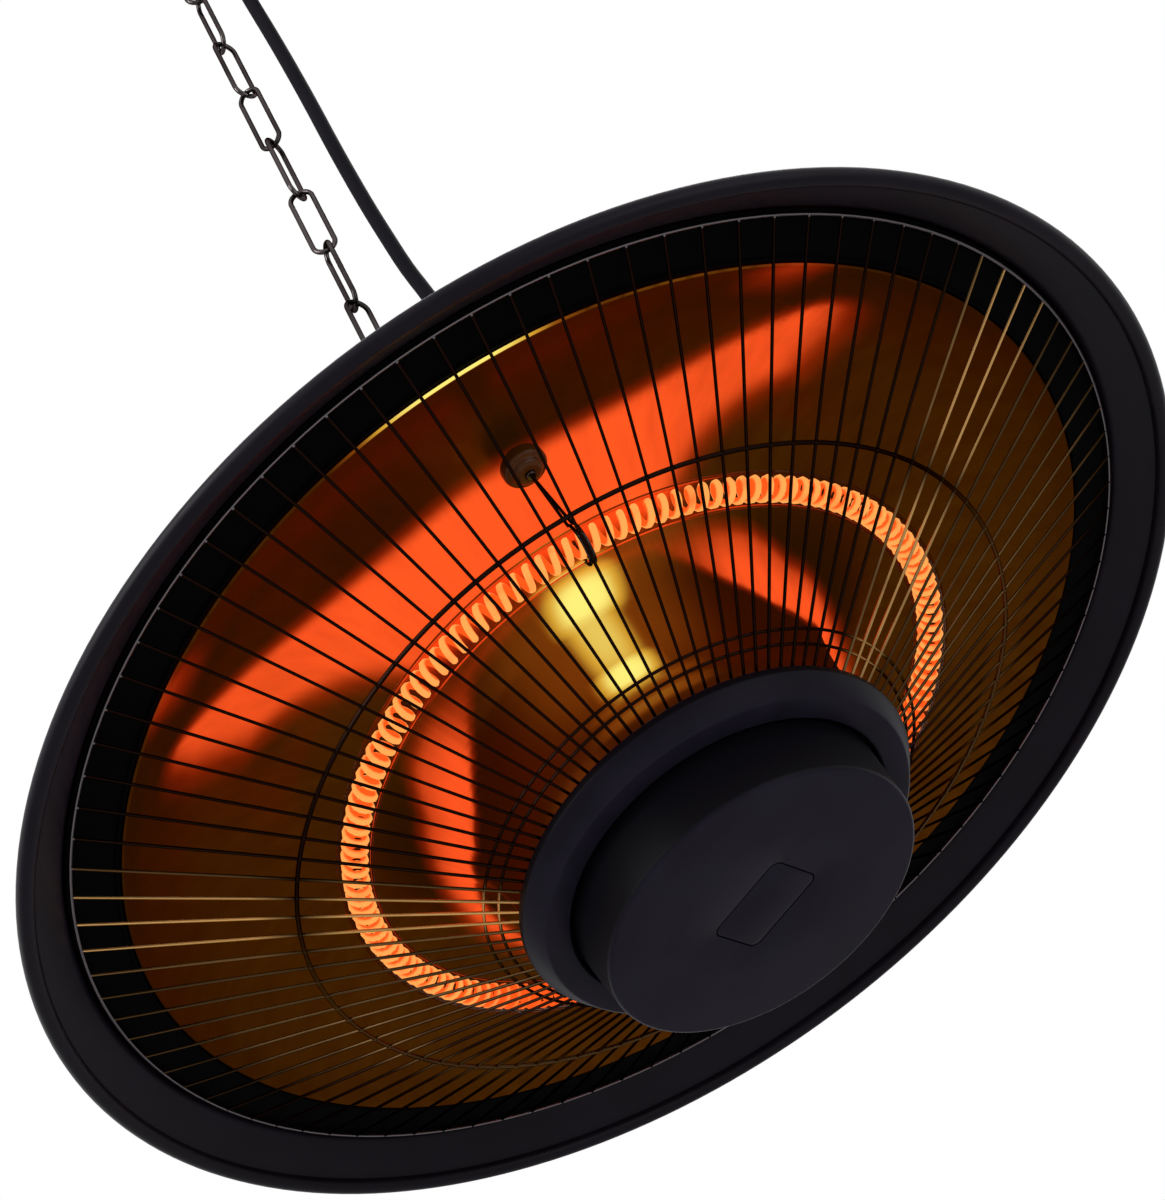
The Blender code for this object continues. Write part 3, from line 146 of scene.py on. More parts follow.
def arc(centre: Point, radius: float, start_deg: float, end_deg: float, steps: int) -> Outline:
    """Return points along an arc, both ends included.

    Args:
        centre: the arc's centre.
        radius: its radius.
        start_deg: the angle of the first point.
        end_deg: the angle of the last point.
        steps: how many chords the arc has.

    Returns:
        The points.
    """
    turns = (math.radians(start_deg + (end_deg - start_deg) * i / steps) for i in range(steps + 1))
    return [(centre[0] + radius * math.cos(a), centre[1] + radius * math.sin(a)) for a in turns]


def smooth_line(points: Sequence[Sequence[float]], steps: int) -> list[Vector]:
    """Return a smooth line through points, as a Catmull-Rom curve.

    Args:
        points: the points that the line passes.
        steps: how many chords each stretch gets.

    Returns:
        The points of the line.
    """
    route = [Vector(point) for point in points]
    ends = [route[0] * 2 - route[1], *route, route[-1] * 2 - route[-2]]
    made = [route[0]]
    for i in range(1, len(ends) - 2):
        p0, p1, p2, p3 = ends[i - 1 : i + 3]
        for k in range(1, steps + 1):
            t = k / steps
            square = (p0 * 2 - p1 * 5 + p2 * 4 - p3) * t**2
            cube = (p1 * 3 - p0 - p2 * 3 + p3) * t**3
            made.append((p1 * 2 + (p2 - p0) * t + square + cube) / 2)
    return made


def sheet_sides(path: Sequence[Sequence[float]], thickness: float) -> tuple[Outline, Outline]:
    """Return the two sides of a bent sheet.

    Args:
        path: the sheet's middle line.
        thickness: the sheet's thickness.

    Returns:
        The points to the left and to the right of the middle line.
    """
    left, right = [], []
    for i, (radius, height) in enumerate(path):
        before, after = path[max(i - 1, 0)], path[min(i + 1, len(path) - 1)]
        along = Vector((after[0] - before[0], after[1] - before[1])).normalized()
        across = Vector((-along.y, along.x)) * (thickness / 2)
        left.append((radius + across.x, height + across.y))
        right.append((radius - across.x, height - across.y))
    return left, right


def turned(outline: Outline, steps: int) -> BMesh:
    """Turn a closed outline about Z into a solid.

    Args:
        outline: the (radius, height) points of the outline.
        steps: how many faces go round.

    Returns:
        The solid.
    """
    made = bmesh.new()
    verts = [made.verts.new((radius, 0, height)) for radius, height in outline]
    pairs = [pair for pair in zip(verts, verts[1:] + verts[:1]) if max(v.co.x for v in pair) > WELD]
    edges = [made.edges.new(pair) for pair in pairs]
    bmesh.ops.spin(
        made, geom=verts + edges, cent=(0, 0, 0), axis=(0, 0, 1), angle=FULL_TURN, steps=steps,
        use_merge=True, use_duplicate=False,
    )
    bmesh.ops.remove_doubles(made, verts=made.verts, dist=WELD)
    bmesh.ops.recalc_face_normals(made, faces=made.faces)
    return made


def carried_frames(path: Sequence[Vector], radii: Sequence[float], closed: bool) -> list[Matrix]:
    """Return a frame at each point of a path, carried along it without twist.

    Args:
        path: the points.
        radii: the radius at each point, which scales its frame.
        closed: whether the path's end meets its start.

    Returns:
        The frames, whose Z axes point along the path.
    """
    count = len(path)
    frames = []
    side = None
    for i, point in enumerate(path):
        before = path[i - 1] if i or closed else point
        after = path[(i + 1) % count] if i < count - 1 or closed else point
        along = (after - before).normalized()
        side = along.orthogonal() if side is None else side - along * side.dot(along)
        side.normalize()
        turn = Matrix((side, along.cross(side), along)).transposed()
        size = Matrix.Diagonal((radii[i], radii[i], radii[i], 1))
        frames.append(Matrix.Translation(point) @ turn.to_4x4() @ size)
    return frames


def swept(
    path: Sequence[Sequence[float]],
    radius: float | Sequence[float],
    sides: int,
    closed: bool = False,
) -> BMesh:
    """Sweep a circle along a path.

    Args:
        path: the points that the circle's centre passes.
        radius: the circle's radius, or its radius at each point.
        sides: how many sides the circle has.
        closed: whether the path's end meets its start.

    Returns:
        The tube, capped where it is open.
    """
    points = [Vector(point) for point in path]
    radii = [radius] * len(points) if isinstance(radius, float) else list(radius)
    frames = carried_frames(points, radii, closed)
    made = bmesh.new()
    for start in range(0, len(frames) - 1, STRETCH):
        join(made, swept_stretch(frames[start : start + STRETCH + 1], sides))
    bmesh.ops.remove_doubles(made, verts=made.verts, dist=SEAM)
    rims = [edge for edge in made.edges if edge.is_boundary]
    if closed:
        bmesh.ops.bridge_loops(made, edges=rims)
    else:
        bmesh.ops.holes_fill(made, edges=rims, sides=0)
    bmesh.ops.recalc_face_normals(made, faces=made.faces)
    return made


def swept_stretch(frames: Sequence[Matrix], sides: int) -> BMesh:
    """Extrude a circle from frame to frame.

    Args:
        frames: the frames, whose scale is the circle's radius.
        sides: how many sides the circle has.

    Returns:
        The open stretch of tube.
    """
    made = bmesh.new()
    bmesh.ops.create_circle(made, cap_ends=False, segments=sides, radius=1, matrix=frames[0])
    ring = list(made.edges)
    for before, after in zip(frames, frames[1:]):
        grown = bmesh.ops.extrude_edge_only(made, edges=ring)["geom"]
        ring = [item for item in grown if isinstance(item, BMEdge)]
        bmesh.ops.transform(made, matrix=after @ before.inverted(), verts=verts_of(grown))
    return made


def block(size: Sequence[float], edge: float, centre: Sequence[float]) -> BMesh:
    """Make a block with rounded edges.

    Args:
        size: its three sides.
        edge: the width of the rounding.
        centre: its middle.

    Returns:
        The block.
    """
    made = bmesh.new()
    matrix = Matrix.Translation(centre) @ Matrix.Diagonal((*size, 1))
    bmesh.ops.create_cube(made, size=1, matrix=matrix)
    return softened(made, edge, 3)


def slab(outline: Outline, thickness: float) -> BMesh:
    """Extrude a flat outline about its own plane.

    Args:
        outline: the points of the outline.
        thickness: how thick the slab is.

    Returns:
        The slab.
    """
    made = bmesh.new()
    face = made.faces.new([made.verts.new((x, y, -thickness / 2)) for x, y in outline])
    grown = bmesh.ops.extrude_face_region(made, geom=[face])["geom"]
    bmesh.ops.translate(made, verts=verts_of(grown), vec=(0, 0, thickness))
    bmesh.ops.recalc_face_normals(made, faces=made.faces)
    return made


def softened(
    made: BMesh, width: float, segments: int = 2, sharp_deg: float = 30
) -> BMesh:
    """Round the sharp edges of a solid.

    Args:
        made: the solid.
        width: the width of the rounding.
        segments: how many strips the rounding has.
        sharp_deg: the least angle at which an edge counts as sharp.

    Returns:
        The same solid.
    """
    limit = math.radians(sharp_deg)
    sharp = [e for e in made.edges if len(e.link_faces) == 2 and e.calc_face_angle() > limit]
    bmesh.ops.bevel(
        made, geom=sharp, offset=width, offset_type="OFFSET", segments=segments, profile=0.5,
        affect="EDGES", material=-1, clamp_overlap=True,
    )
    return made


def rounded_rectangle(length: float, width: float, corner: float, steps: int = 6) -> Outline:
    """Return the outline of a rectangle with round corners, about its centre.

    Args:
        length: its side along X.
        width: its side along Y.
        corner: the radius of its corners.
        steps: how many chords a corner has.

    Returns:
        The points.
    """
    x, y = length / 2 - corner, width / 2 - corner
    corners = ((x, y, 0), (-x, y, 90), (-x, -y, 180), (x, -y, 270))
    return [p for cx, cy, turn in corners for p in arc((cx, cy), corner, turn, turn + 90, steps)]


def on_circle(radius: float, turn_deg: float, height: float = 0.0) -> Vector:
    """Return the point at that radius, angle and height."""
    turn = math.radians(turn_deg)
    return Vector((radius * math.cos(turn), radius * math.sin(turn), height))


def signed_turn(point: Vector, from_deg: float) -> float:
    """Return a point's angle about Z from a direction, from -180 to 180 degrees."""
    turn = math.degrees(math.atan2(point.y, point.x)) - from_deg
    return (turn + 180) % 360 - 180


def flat(points: Sequence[Vector]) -> Outline:
    """Return the first two numbers of each point."""
    return [(point.x, point.y) for point in points]


def raised(height: float) -> Matrix:
    """Return a move along Z."""
    return Matrix.Translation((0, 0, height))


def rotated(turn_deg: float, axis: str = "Z") -> Matrix:
    """Return a turn about an axis."""
    return Matrix.Rotation(math.radians(turn_deg), 4, axis)


def verts_of(geom: Sequence[object]) -> list[BMVert]:
    """Return the vertices among what an operator made."""
    return [item for item in geom if isinstance(item, BMVert)]


def join(made: BMesh, part: BMesh) -> None:
    """Add a part to a mesh in the making, and free the part."""
    held = bpy.data.meshes.new("held")
    part.to_mesh(held)
    part.free()
    made.from_mesh(held)
    bpy.data.meshes.remove(held)


class Form:
    """A mesh in the making, put together from finished solids."""

    def __init__(self, *solids: BMesh) -> None:
        """Start from solids that are already in place."""
        self.mesh = bmesh.new()
        for solid in solids:
            self.add(solid)

    def add(self, solid: BMesh, matrix: Matrix | None = None) -> Form:
        """Set a solid into the form.

        Args:
            solid: the solid, which is used up.
            matrix: where it goes.

        Returns:
            The form itself.
        """
        if matrix is not None:
            solid.transform(matrix)
        join(self.mesh, solid)
        return self

    def placed(self, matrix: Matrix) -> Form:
        """Move the whole form and return it."""
        self.mesh.transform(matrix)
        return self


def linked(name: str, made: BMesh, finish: Finish) -> bpy.types.Object:
    """Link a new object to the scene.

    Args:
        name: the object's name.
        made: its mesh, which is used up.
        finish: what it is made of.

    Returns:
        The object.
    """
    mesh = bpy.data.meshes.new(name)
    made.to_mesh(mesh)
    made.free()
    mesh.materials.append(finish.material())
    item = bpy.data.objects.new(name, mesh)
    bpy.context.scene.collection.objects.link(item)
    return item


@dataclass(frozen=True)
class Piece:
    """What a piece is called and what it belongs to."""

    name: str
    body: Body
    slot: Slot
    replaces: tuple[str, ...] = ()

    def deliver(self, form: Form, finish: Finish, smooth_deg: float = 35) -> bpy.types.Object:
        """Make the object of a finished form and let it ride on its body.

        Args:
            form: the form, in the row's frame, which is used up.
            finish: what it is made of.
            smooth_deg: the angle above which an edge stays sharp.

        Returns:
            The object.
        """
        item = linked(self.name, form.mesh, finish)
        item.data.shade_smooth()
        item.data.set_sharp_from_angle(angle=math.radians(smooth_deg))
        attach(item, self.body.value)
        self.declare(item)
        return item

    def declare(self, item: bpy.types.Object) -> None:
        """Hide the CAD nodes that an object stands for, and log it."""
        if self.replaces:
            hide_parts(*self.replaces)
        LOG.info("%s on %s, %d faces", item.name, self.body.value, len(item.data.polygons))


def paint(
    item: bpy.types.Object, name: str, frame: Matrix, value: Callable[[Vector], float]
) -> None:
    """Give each vertex of a piece a value that its material reads.

    Args:
        item: the piece.
        name: the attribute's name.
        frame: the frame in which value gets the vertex.
        value: returns the value at a point.
    """
    layer = item.data.attributes.new(name, "FLOAT", "POINT")
    to_frame = frame.inverted()
    layer.data.foreach_set("value", [value(to_frame @ v.co) for v in item.data.vertices])


# Finishes


def rgba(colour: Colour, share: float = 1.0) -> tuple[float, float, float, float]:
    """Return a colour times a share, opaque and no brighter than white."""
    return (*(min(1.0, part * share) for part in colour), 1)


class Wiring:
    """Adds and joins the nodes of one tree."""

    def __init__(self, tree: bpy.types.NodeTree) -> None:
        """Work on a tree."""
        self.tree = tree

    def feed(self, socket: Socket, value: object) -> None:
        """Link a socket to another, or set it to a constant."""
        if isinstance(value, Socket):
            self.tree.links.new(value, socket)
        else:
            socket.default_value = value

    def feed_all(self, sockets: dict, values: dict) -> None:
        """Feed several sockets, by name or number."""
        for name, value in values.items():
            self.feed(sockets[name], value)

    def add(self, kind: str, inputs: dict | None = None, **settings: object) -> bpy.types.Node:
        """Add a node.

        Args:
            kind: the node's type.
            inputs: values or sockets for its inputs, by name or number.
            settings: values for its properties.

        Returns:
            The node.
        """
        node = self.tree.nodes.new(kind)
        for name, value in settings.items():
            setattr(node, name, value)
        self.feed_all(node.inputs, inputs or {})
        return node

    def maths(self, operation: str, *values: object) -> Socket:
        """Return the result of a Math node."""
        node = self.add("ShaderNodeMath", dict(enumerate(values)), operation=operation)
        return node.outputs[0]

    def mixed(
        self, share: object, first: object, second: object, blend: str = "MIX"
    ) -> Socket:
        """Return a mix of two colours."""
        inputs = {0: share, 6: first, 7: second}
        return self.add("ShaderNodeMix", inputs, data_type="RGBA", blend_type=blend).outputs[2]

    def parts(self, vector: Socket) -> Sequence[Socket]:
        """Return the X, Y and Z of a vector."""
        return self.add("ShaderNodeSeparateXYZ", {0: vector}).outputs

    def painted(self, name: str) -> Socket:
        """Return the value that the vertices were given under a name."""
        return self.add("ShaderNodeAttribute", attribute_name=name).outputs["Fac"]

    def facing(self) -> Socket:
        """Return 0 on a face that looks at the viewer and 1 on one seen from its side."""
        return self.add("ShaderNodeLayerWeight", {"Blend": 0.5}).outputs["Facing"]

    def from_axis(self, x: Socket, y: Socket) -> Socket:
        """Return the distance from the Z axis."""
        square = self.maths("MULTIPLY_ADD", x, x, self.maths("MULTIPLY", y, y))
        return self.maths("SQRT", square)

    def noise(self, vector: object, scale: object, detail: float = 3.0) -> Socket:
        """Return the value of a Noise texture."""
        inputs = {"Vector": vector, "Scale": scale, "Detail": detail}
        return self.add("ShaderNodeTexNoise", inputs).outputs[0]

    def ranged(self, value: object, low: float, high: float) -> Socket:
        """Return 0 where value is low, 1 where it is high, and a smooth step between."""
        inputs = {"Value": value, "From Min": low, "From Max": high}
        return self.add("ShaderNodeMapRange", inputs, interpolation_type="SMOOTHSTEP").outputs[0]

    def bump(self, height: object, distance: float, strength: float = 1.0) -> Socket:
        """Return the normal of a Bump node."""
        inputs = {"Height": height, "Distance": distance, "Strength": strength}
        return self.add("ShaderNodeBump", inputs).outputs[0]

    def place(self, frame: Matrix | None = None) -> Socket:
        """Return Object coordinates, in a frame of the row where one is given."""
        spot = self.add("ShaderNodeTexCoord").outputs["Object"]
        if frame is None:
            return spot
        inputs = {"Vector": spot, "Location": frame.translation, "Rotation": frame.to_euler()}
        return self.add("ShaderNodeMapping", inputs, vector_type="TEXTURE").outputs[0]


def node_group(
    name: str,
    inputs: dict[str, str],
    outputs: dict[str, str],
    wire: Callable[[Wiring, dict], dict],
) -> bpy.types.NodeTree:
    """Return a shader node group, made on first use.

    Args:
        name: the group's name.
        inputs: the kind of each input socket.
        outputs: the kind of each output socket.
        wire: takes the inputs and returns what goes to the outputs.

    Returns:
        The group.
    """
    found = bpy.data.node_groups.get(name)
    if found:
        return found
    tree = bpy.data.node_groups.new(name, "ShaderNodeTree")
    for label, kind in inputs.items():
        tree.interface.new_socket(name=label, in_out="INPUT", socket_type="NodeSocket" + kind)
    for label, kind in outputs.items():
        tree.interface.new_socket(name=label, in_out="OUTPUT", socket_type="NodeSocket" + kind)
    wiring = Wiring(tree)
    entry = wiring.add("NodeGroupInput")
    wiring.add("NodeGroupOutput", wire(wiring, entry.outputs))
    return tree


def grain_group() -> bpy.types.NodeTree:
    """Return the group for the fine skin and the broad cloudiness of a coated surface."""

    def wire(wiring: Wiring, given: dict) -> dict:
        """Wire the noises of the skin and the cloudiness."""
        broad = wiring.noise(given["Vector"], wiring.maths("MULTIPLY", given["Scale"], 0.03), 4.0)
        cloud = wiring.maths("MULTIPLY_ADD", broad, given["Variation"], given["Roughness"])
        half = wiring.maths("MULTIPLY", given["Variation"], 0.5)
        return {
            "Roughness": wiring.maths("SUBTRACT", cloud, half),
            "Height": wiring.noise(given["Vector"], given["Scale"], 2.0),
            "Cloud": broad,
        }

    inputs = {"Vector": "Vector", "Scale": "Float", "Roughness": "Float", "Variation": "Float"}
    outputs = dict.fromkeys(("Roughness", "Height", "Cloud"), "Float")
    return node_group("surface grain", inputs, outputs, wire)


def dust_group() -> bpy.types.NodeTree:
    """Return the group that settles dust on the faces that look up."""

    def wire(wiring: Wiring, given: dict) -> dict:
        """Wire the dust's mask, its colour and its roughness."""
        up = wiring.parts(given["Normal"])[2]
        patchy = wiring.ranged(wiring.noise(given["Vector"], 55.0, 5.0), 0.35, 0.75)
        settled = wiring.maths("MULTIPLY", wiring.ranged(up, 0.2, 1.0), patchy)
        mask = wiring.maths("MULTIPLY", settled, given["Amount"])
        return {
            "Color": wiring.mixed(mask, given["Color"], (0.24, 0.22, 0.2, 1)),
            "Roughness": wiring.maths("MULTIPLY_ADD", mask, 0.3, given["Roughness"]),
        }

    outputs = {"Color": "Color", "Roughness": "Float"}
    inputs = {"Vector": "Vector", "Normal": "Vector", **outputs, "Amount": "Float"}
    return node_group("settled dust", inputs, outputs, wire)


def spun_group() -> bpy.types.NodeTree:
    """Return the group for the fine rings and streaks that spinning leaves in a sheet."""

    def wire(wiring: Wiring, given: dict) -> dict:
        """Wire the rings round the axis and the rays along the sheet."""
        x, y, z = wiring.parts(given["Vector"])
        along = wiring.maths("ADD", wiring.from_axis(x, y), wiring.maths("MULTIPLY", z, -0.7))
        rings = wiring.add("ShaderNodeCombineXYZ", {0: along}).outputs[0]
        turn = wiring.maths("MULTIPLY", wiring.maths("ARCTAN2", y, x), 0.35)
        rays = wiring.add("ShaderNodeCombineXYZ", {0: turn, 1: along}).outputs[0]
        broad = wiring.maths("MULTIPLY", given["Scale"], 0.06)
        return {
            "Rings": wiring.noise(rings, given["Scale"], 4.0),
            "Rays": wiring.noise(rays, broad, 5.0),
        }

    inputs = {"Vector": "Vector", "Scale": "Float"}
    return node_group("spun marks", inputs, {"Rings": "Float", "Rays": "Float"}, wire)


@dataclass(frozen=True)
class Finish:
    """A surface: its name, its colour and how rough it is."""

    name: str
    colour: Colour
    roughness: float

    def material(self) -> bpy.types.Material:
        """Return the material, made on first use."""
        title = "finish " + self.name
        found = bpy.data.materials.get(title)
        if found:
            return found
        made = bpy.data.materials.new(title)
        made.use_nodes = True
        shader = made.node_tree.nodes["Principled BSDF"]
        shader.inputs["Base Color"].default_value = rgba(self.colour)
        shader.inputs["Roughness"].default_value = self.roughness
        self.dress(Wiring(made.node_tree), shader.inputs)
        return made

    def dress(self, wiring: Wiring, sockets: dict) -> None:
        """Wire what sets this finish apart into the shader's sockets."""

    def grain(self, wiring: Wiring, scale: float, variation: float) -> bpy.types.Node:
        """Return the grain group, placed on Object coordinates."""
        inputs = {
            "Vector": wiring.place(), "Scale": scale,
            "Roughness": self.roughness, "Variation": variation,
        }
        return wiring.add("ShaderNodeGroup", inputs, node_tree=grain_group())


@dataclass(frozen=True)
class Coated(Finish):
    """A powder coat or a moulded skin, with a fine grain and a little dust."""

    grain_scale: float = 1400.0
    grain_depth: float = 0.00004
    variation: float = 0.12
    dust: float = 0.0
    pale: float = 1.35
    specular: float = 0.5
    side_shade_share: float = 1.0

    def dress(self, wiring: Wiring, sockets: dict) -> None:
        """Wire the grain, the cloudiness, the painted shade on the sides and the dust."""
        grain = self.grain(wiring, self.grain_scale, self.variation).outputs
        lighter = rgba(self.colour, self.pale)
        clouded = wiring.mixed(wiring.ranged(grain["Cloud"], 0.3, 0.7), rgba(self.colour), lighter)
        normal = wiring.add("ShaderNodeTexCoord").outputs["Normal"]
        # Upright faces get a darker colour: painted shade on the sides.
        if self.side_shade_share < 1:
            upright = wiring.ranged(wiring.maths("ABSOLUTE", wiring.parts(normal)[2]), 0.1, 0.9)
            clouded = wiring.mixed(upright, rgba(self.colour, self.side_shade_share), clouded)
        inputs = {
            "Vector": wiring.place(), "Normal": normal, "Color": clouded,
            "Roughness": grain["Roughness"], "Amount": self.dust,
        }
        dusted = wiring.add("ShaderNodeGroup", inputs, node_tree=dust_group()).outputs
        wiring.feed_all(sockets, {
            "Base Color": dusted["Color"],
            "Roughness": dusted["Roughness"],
            "Normal": wiring.bump(grain["Height"], self.grain_depth),
            "Specular IOR Level": self.specular,
        })


@dataclass(frozen=True)
class Plated(Finish):
    """Bare or plated metal with fine rubbing marks, darker tarnish and a painted sheen at its
    sides.
    """

    mark_scale: float = 900.0
    variation: float = 0.16
    tarnish: float = 0.45
    sides: float = 1.0
    grazing: Colour = (1.0, 1.0, 1.0)

    def dress(self, wiring: Wiring, sockets: dict) -> None:
        """Wire the marks, the tarnish and a painted sheen at the sides, where they are seen
        edge-on.
        """
        grain = self.grain(wiring, self.mark_scale, self.variation).outputs
        dark = rgba(self.colour, self.tarnish)
        stained = wiring.mixed(wiring.ranged(grain["Cloud"], 0.35, 0.7), rgba(self.colour), dark)
        # Seen edge-on, the colour is scaled by sides: a painted sheen.
        side = wiring.ranged(wiring.facing(), 0.35, 0.95)
        wiring.feed_all(sockets, {
            "Base Color": wiring.mixed(side, stained, rgba(self.colour, self.sides)),
            "Roughness": grain["Roughness"],
            "Normal": wiring.bump(grain["Height"], FINE_MARK),
            "Metallic": 1.0,
            "Specular Tint": rgba(self.grazing),
        })


@dataclass(frozen=True)
class GuardMetal(Finish):
    """Dark bronze wire, with a painted gold sheen, a reflection of the tube's glow, on some of its
    stretches.
    """

    # The gold is a painted sheen, a reflection of the tube's glow; the pale grey is a painted
    # highlight on the outer ring.
    gold: Colour = (0.8, 0.45, 0.16)
    bare: Colour = (0.17, 0.15, 0.16)
    edge_radius: float = 0.1918
    grazing: Colour = (0.2, 0.1, 0.05)

    def dress(self, wiring: Wiring, sockets: dict) -> None:
        """Wire the bronze, the painted gold sheen and the painted highlight on the outer ring."""
        grain = self.grain(wiring, 700.0, 0.15).outputs
        # The painted value is a gold sheen: a painted reflection of the tube's glow.
        shine = wiring.painted("painted_gold_sheen")
        gold_sheen = wiring.maths("MULTIPLY", shine, wiring.ranged(grain["Cloud"], 0.1, 0.5))
        colour = wiring.mixed(gold_sheen, rgba(self.colour), rgba(self.gold))
        # Past the edge radius the outer ring turns paler grey: a painted highlight.
        x, y, _ = wiring.parts(wiring.place(HANGING.heater()))
        edge = wiring.ranged(wiring.from_axis(x, y), self.edge_radius - 0.0003, self.edge_radius)
        wiring.feed_all(sockets, {
            "Base Color": wiring.mixed(edge, colour, rgba(self.bare)),
            "Roughness": grain["Roughness"],
            "Metallic": 1.0,
            "Specular Tint": rgba(self.grazing),
        })


@dataclass(frozen=True)
class SpunGold(Finish):
    """The reflector: dark gold, with painted reflections of the glowing tube and of a lamp, and
    painted shade on its neck.
    """

    olive: Colour = (0.085, 0.028, 0.002)
    # The neck colour below is darker and redder: painted shade, a darker reflection near the hub.
    neck: Colour = (0.045, 0.0085, 0.001)
    grazing: Colour = (0.5, 0.2, 0.03)
    # The next four colours are emitted: a painted reflection of the glowing tube.
    faint_glow: Colour = (0.016, 0.0048, 0.0003)
    neck_faint_glow: Colour = (0.024, 0.0035, 0.0002)
    ember: Colour = (0.42, 0.02, 0.002)
    glow: Colour = (1.0, 0.09, 0.015)
    # The next three colours make the painted highlight of a lamp on the neck.
    highlight_dim_colour: Colour = (0.15, 0.034, 0.002)
    highlight_gold_colour: Colour = (0.62, 0.34, 0.03)
    lamp: Colour = (1.0, 0.88, 0.2)
    mark_scale: float = 900.0
    neck_top: Point = (-0.02, 0.012)

    def dress(self, wiring: Wiring, sockets: dict) -> None:
        """Wire the spun marks, the painted reflection of the tube's glow, the painted lamp
        highlight and the painted shade on the neck.
        """
        place = wiring.place(HANGING.heater())
        inputs = {"Vector": place, "Scale": self.mark_scale}
        marks = wiring.add("ShaderNodeGroup", inputs, node_tree=spun_group()).outputs
        rings, rays = marks["Rings"], marks["Rays"]
        tube_reflection = wiring.painted("painted_tube_glow")
        spot = wiring.painted("painted_lamp_highlight")
        tone = wiring.mixed(wiring.ranged(rays, 0.2, 0.8), rgba(self.colour), rgba(self.olive))
        # Below the neck's top the colour turns darker and redder: painted shade.
        above_neck = wiring.ranged(wiring.parts(place)[2], *self.neck_top)
        tone = wiring.mixed(above_neck, rgba(self.neck), tone)
        # The emitted colour is a painted reflection of the tube's glow.
        hot = wiring.mixed(wiring.ranged(tube_reflection, 0.25, 0.95), rgba(self.ember), rgba(self.glow))
        level = wiring.maths("MULTIPLY", tube_reflection, wiring.maths("MULTIPLY_ADD", rays, 0.5, 0.75))
        faint_glow = wiring.mixed(above_neck, rgba(self.neck_faint_glow), rgba(self.faint_glow))
        warm = wiring.mixed(wiring.maths("MINIMUM", level, 1.0), faint_glow, hot)
        # The painted highlight of a lamp, from dim to bright.
        dim = wiring.mixed(wiring.ranged(spot, 0.0, 0.24), (0, 0, 0, 1), rgba(self.highlight_dim_colour))
        golden = wiring.mixed(wiring.ranged(spot, 0.2, 0.6), dim, rgba(self.highlight_gold_colour))
        bright = wiring.mixed(wiring.ranged(spot, 0.5, 1.0), golden, rgba(self.lamp))
        wiring.feed_all(sockets, {
            "Base Color": tone,
            "Roughness": wiring.maths("MULTIPLY_ADD", rings, 0.16, self.roughness),
            "Normal": wiring.bump(rings, FINE_MARK),
            "Metallic": 1.0,
            "Specular Tint": rgba(self.grazing),
            "Emission Color": wiring.mixed(1.0, warm, bright, "ADD"),
            "Emission Strength": 1.0,
        })


@dataclass(frozen=True)
class HotWire(Finish):
    """The heating coil, which glows: pale on its outside, with painted shade in deeper orange
    between its turns and on its far side.
    """

    # The deeper orange is painted shade between the coil's turns.
    deep: Colour = (0.85, 0.11, 0.013)
    strength: float = 1.15

    def dress(self, wiring: Wiring, sockets: dict) -> None:
        """Wire the light of the coil and its painted shade."""
        # The painted value makes the strand pale outside and deeper orange inside: painted shade.
        outer = wiring.painted("painted_strand_light")
        patch = wiring.noise(wiring.place(), 90.0, 2.0)
        outside, bright = wiring.ranged(outer, -0.2, 0.7), wiring.ranged(patch, 0.1, 0.45)
        share = wiring.maths("MULTIPLY", outside, bright)
        wiring.feed_all(sockets, {
            "Emission Color": wiring.mixed(share, rgba(self.deep), rgba(self.colour)),
            "Emission Strength": self.strength,
            "Base Color": wiring.mixed(patch, (0.12, 0.03, 0.01, 1), (0.2, 0.06, 0.02, 1)),
            "Specular IOR Level": 0.0,
        })


@dataclass(frozen=True)
class ClearQuartz(Finish):
    """The clear wall of the heating tube, which reflects little: its reflections are tinted orange,
    a painted reflection of the coil's light.
    """

    # The orange edge tint is a painted reflection of the coil's light; the side colour is painted
    # shade where the glass is seen edge-on.
    edge: Colour = (0.75, 0.16, 0.05)
    side: Colour = (0.2, 0.045, 0.015)

    def dress(self, wiring: Wiring, sockets: dict) -> None:
        """Wire the faint cloudiness of the glass and the painted shade on its sides."""
        side = wiring.ranged(wiring.facing(), 0.55, 0.9)
        wiring.feed_all(sockets, {
            "Roughness": self.grain(wiring, 300.0, 0.03).outputs["Roughness"],
            "Base Color": wiring.mixed(side, rgba(self.colour), rgba(self.side)),
            "Transmission Weight": 1.0,
            "IOR": 1.06,
            "Specular IOR Level": 0.2,
            "Specular Tint": rgba(self.edge),
        })


@dataclass(frozen=True)
class Braided(Finish):
    """A woven sleeve or strap."""

    thread: float = 0.0008
    shadow: float = 0.6

    def dress(self, wiring: Wiring, sockets: dict) -> None:
        """Wire the crossing threads, with painted shadow between them."""
        place = wiring.place()
        heights = []
        for turn_deg in (45, -45):
            inputs = {"Vector": place, "Rotation": (0, math.radians(turn_deg), 0)}
            threads = wiring.add("ShaderNodeMapping", inputs).outputs[0]
            wave = wiring.add("ShaderNodeTexWave", {"Vector": threads, "Scale": 0.16 / self.thread})
            heights.append(wave.outputs["Fac"])
        weave = wiring.maths("MAXIMUM", *heights)
        dark = rgba(self.colour, self.shadow)
        wiring.feed(sockets["Base Color"], wiring.mixed(weave, dark, rgba(self.colour)))
        wiring.feed(sockets["Normal"], wiring.bump(weave, self.thread / 4))


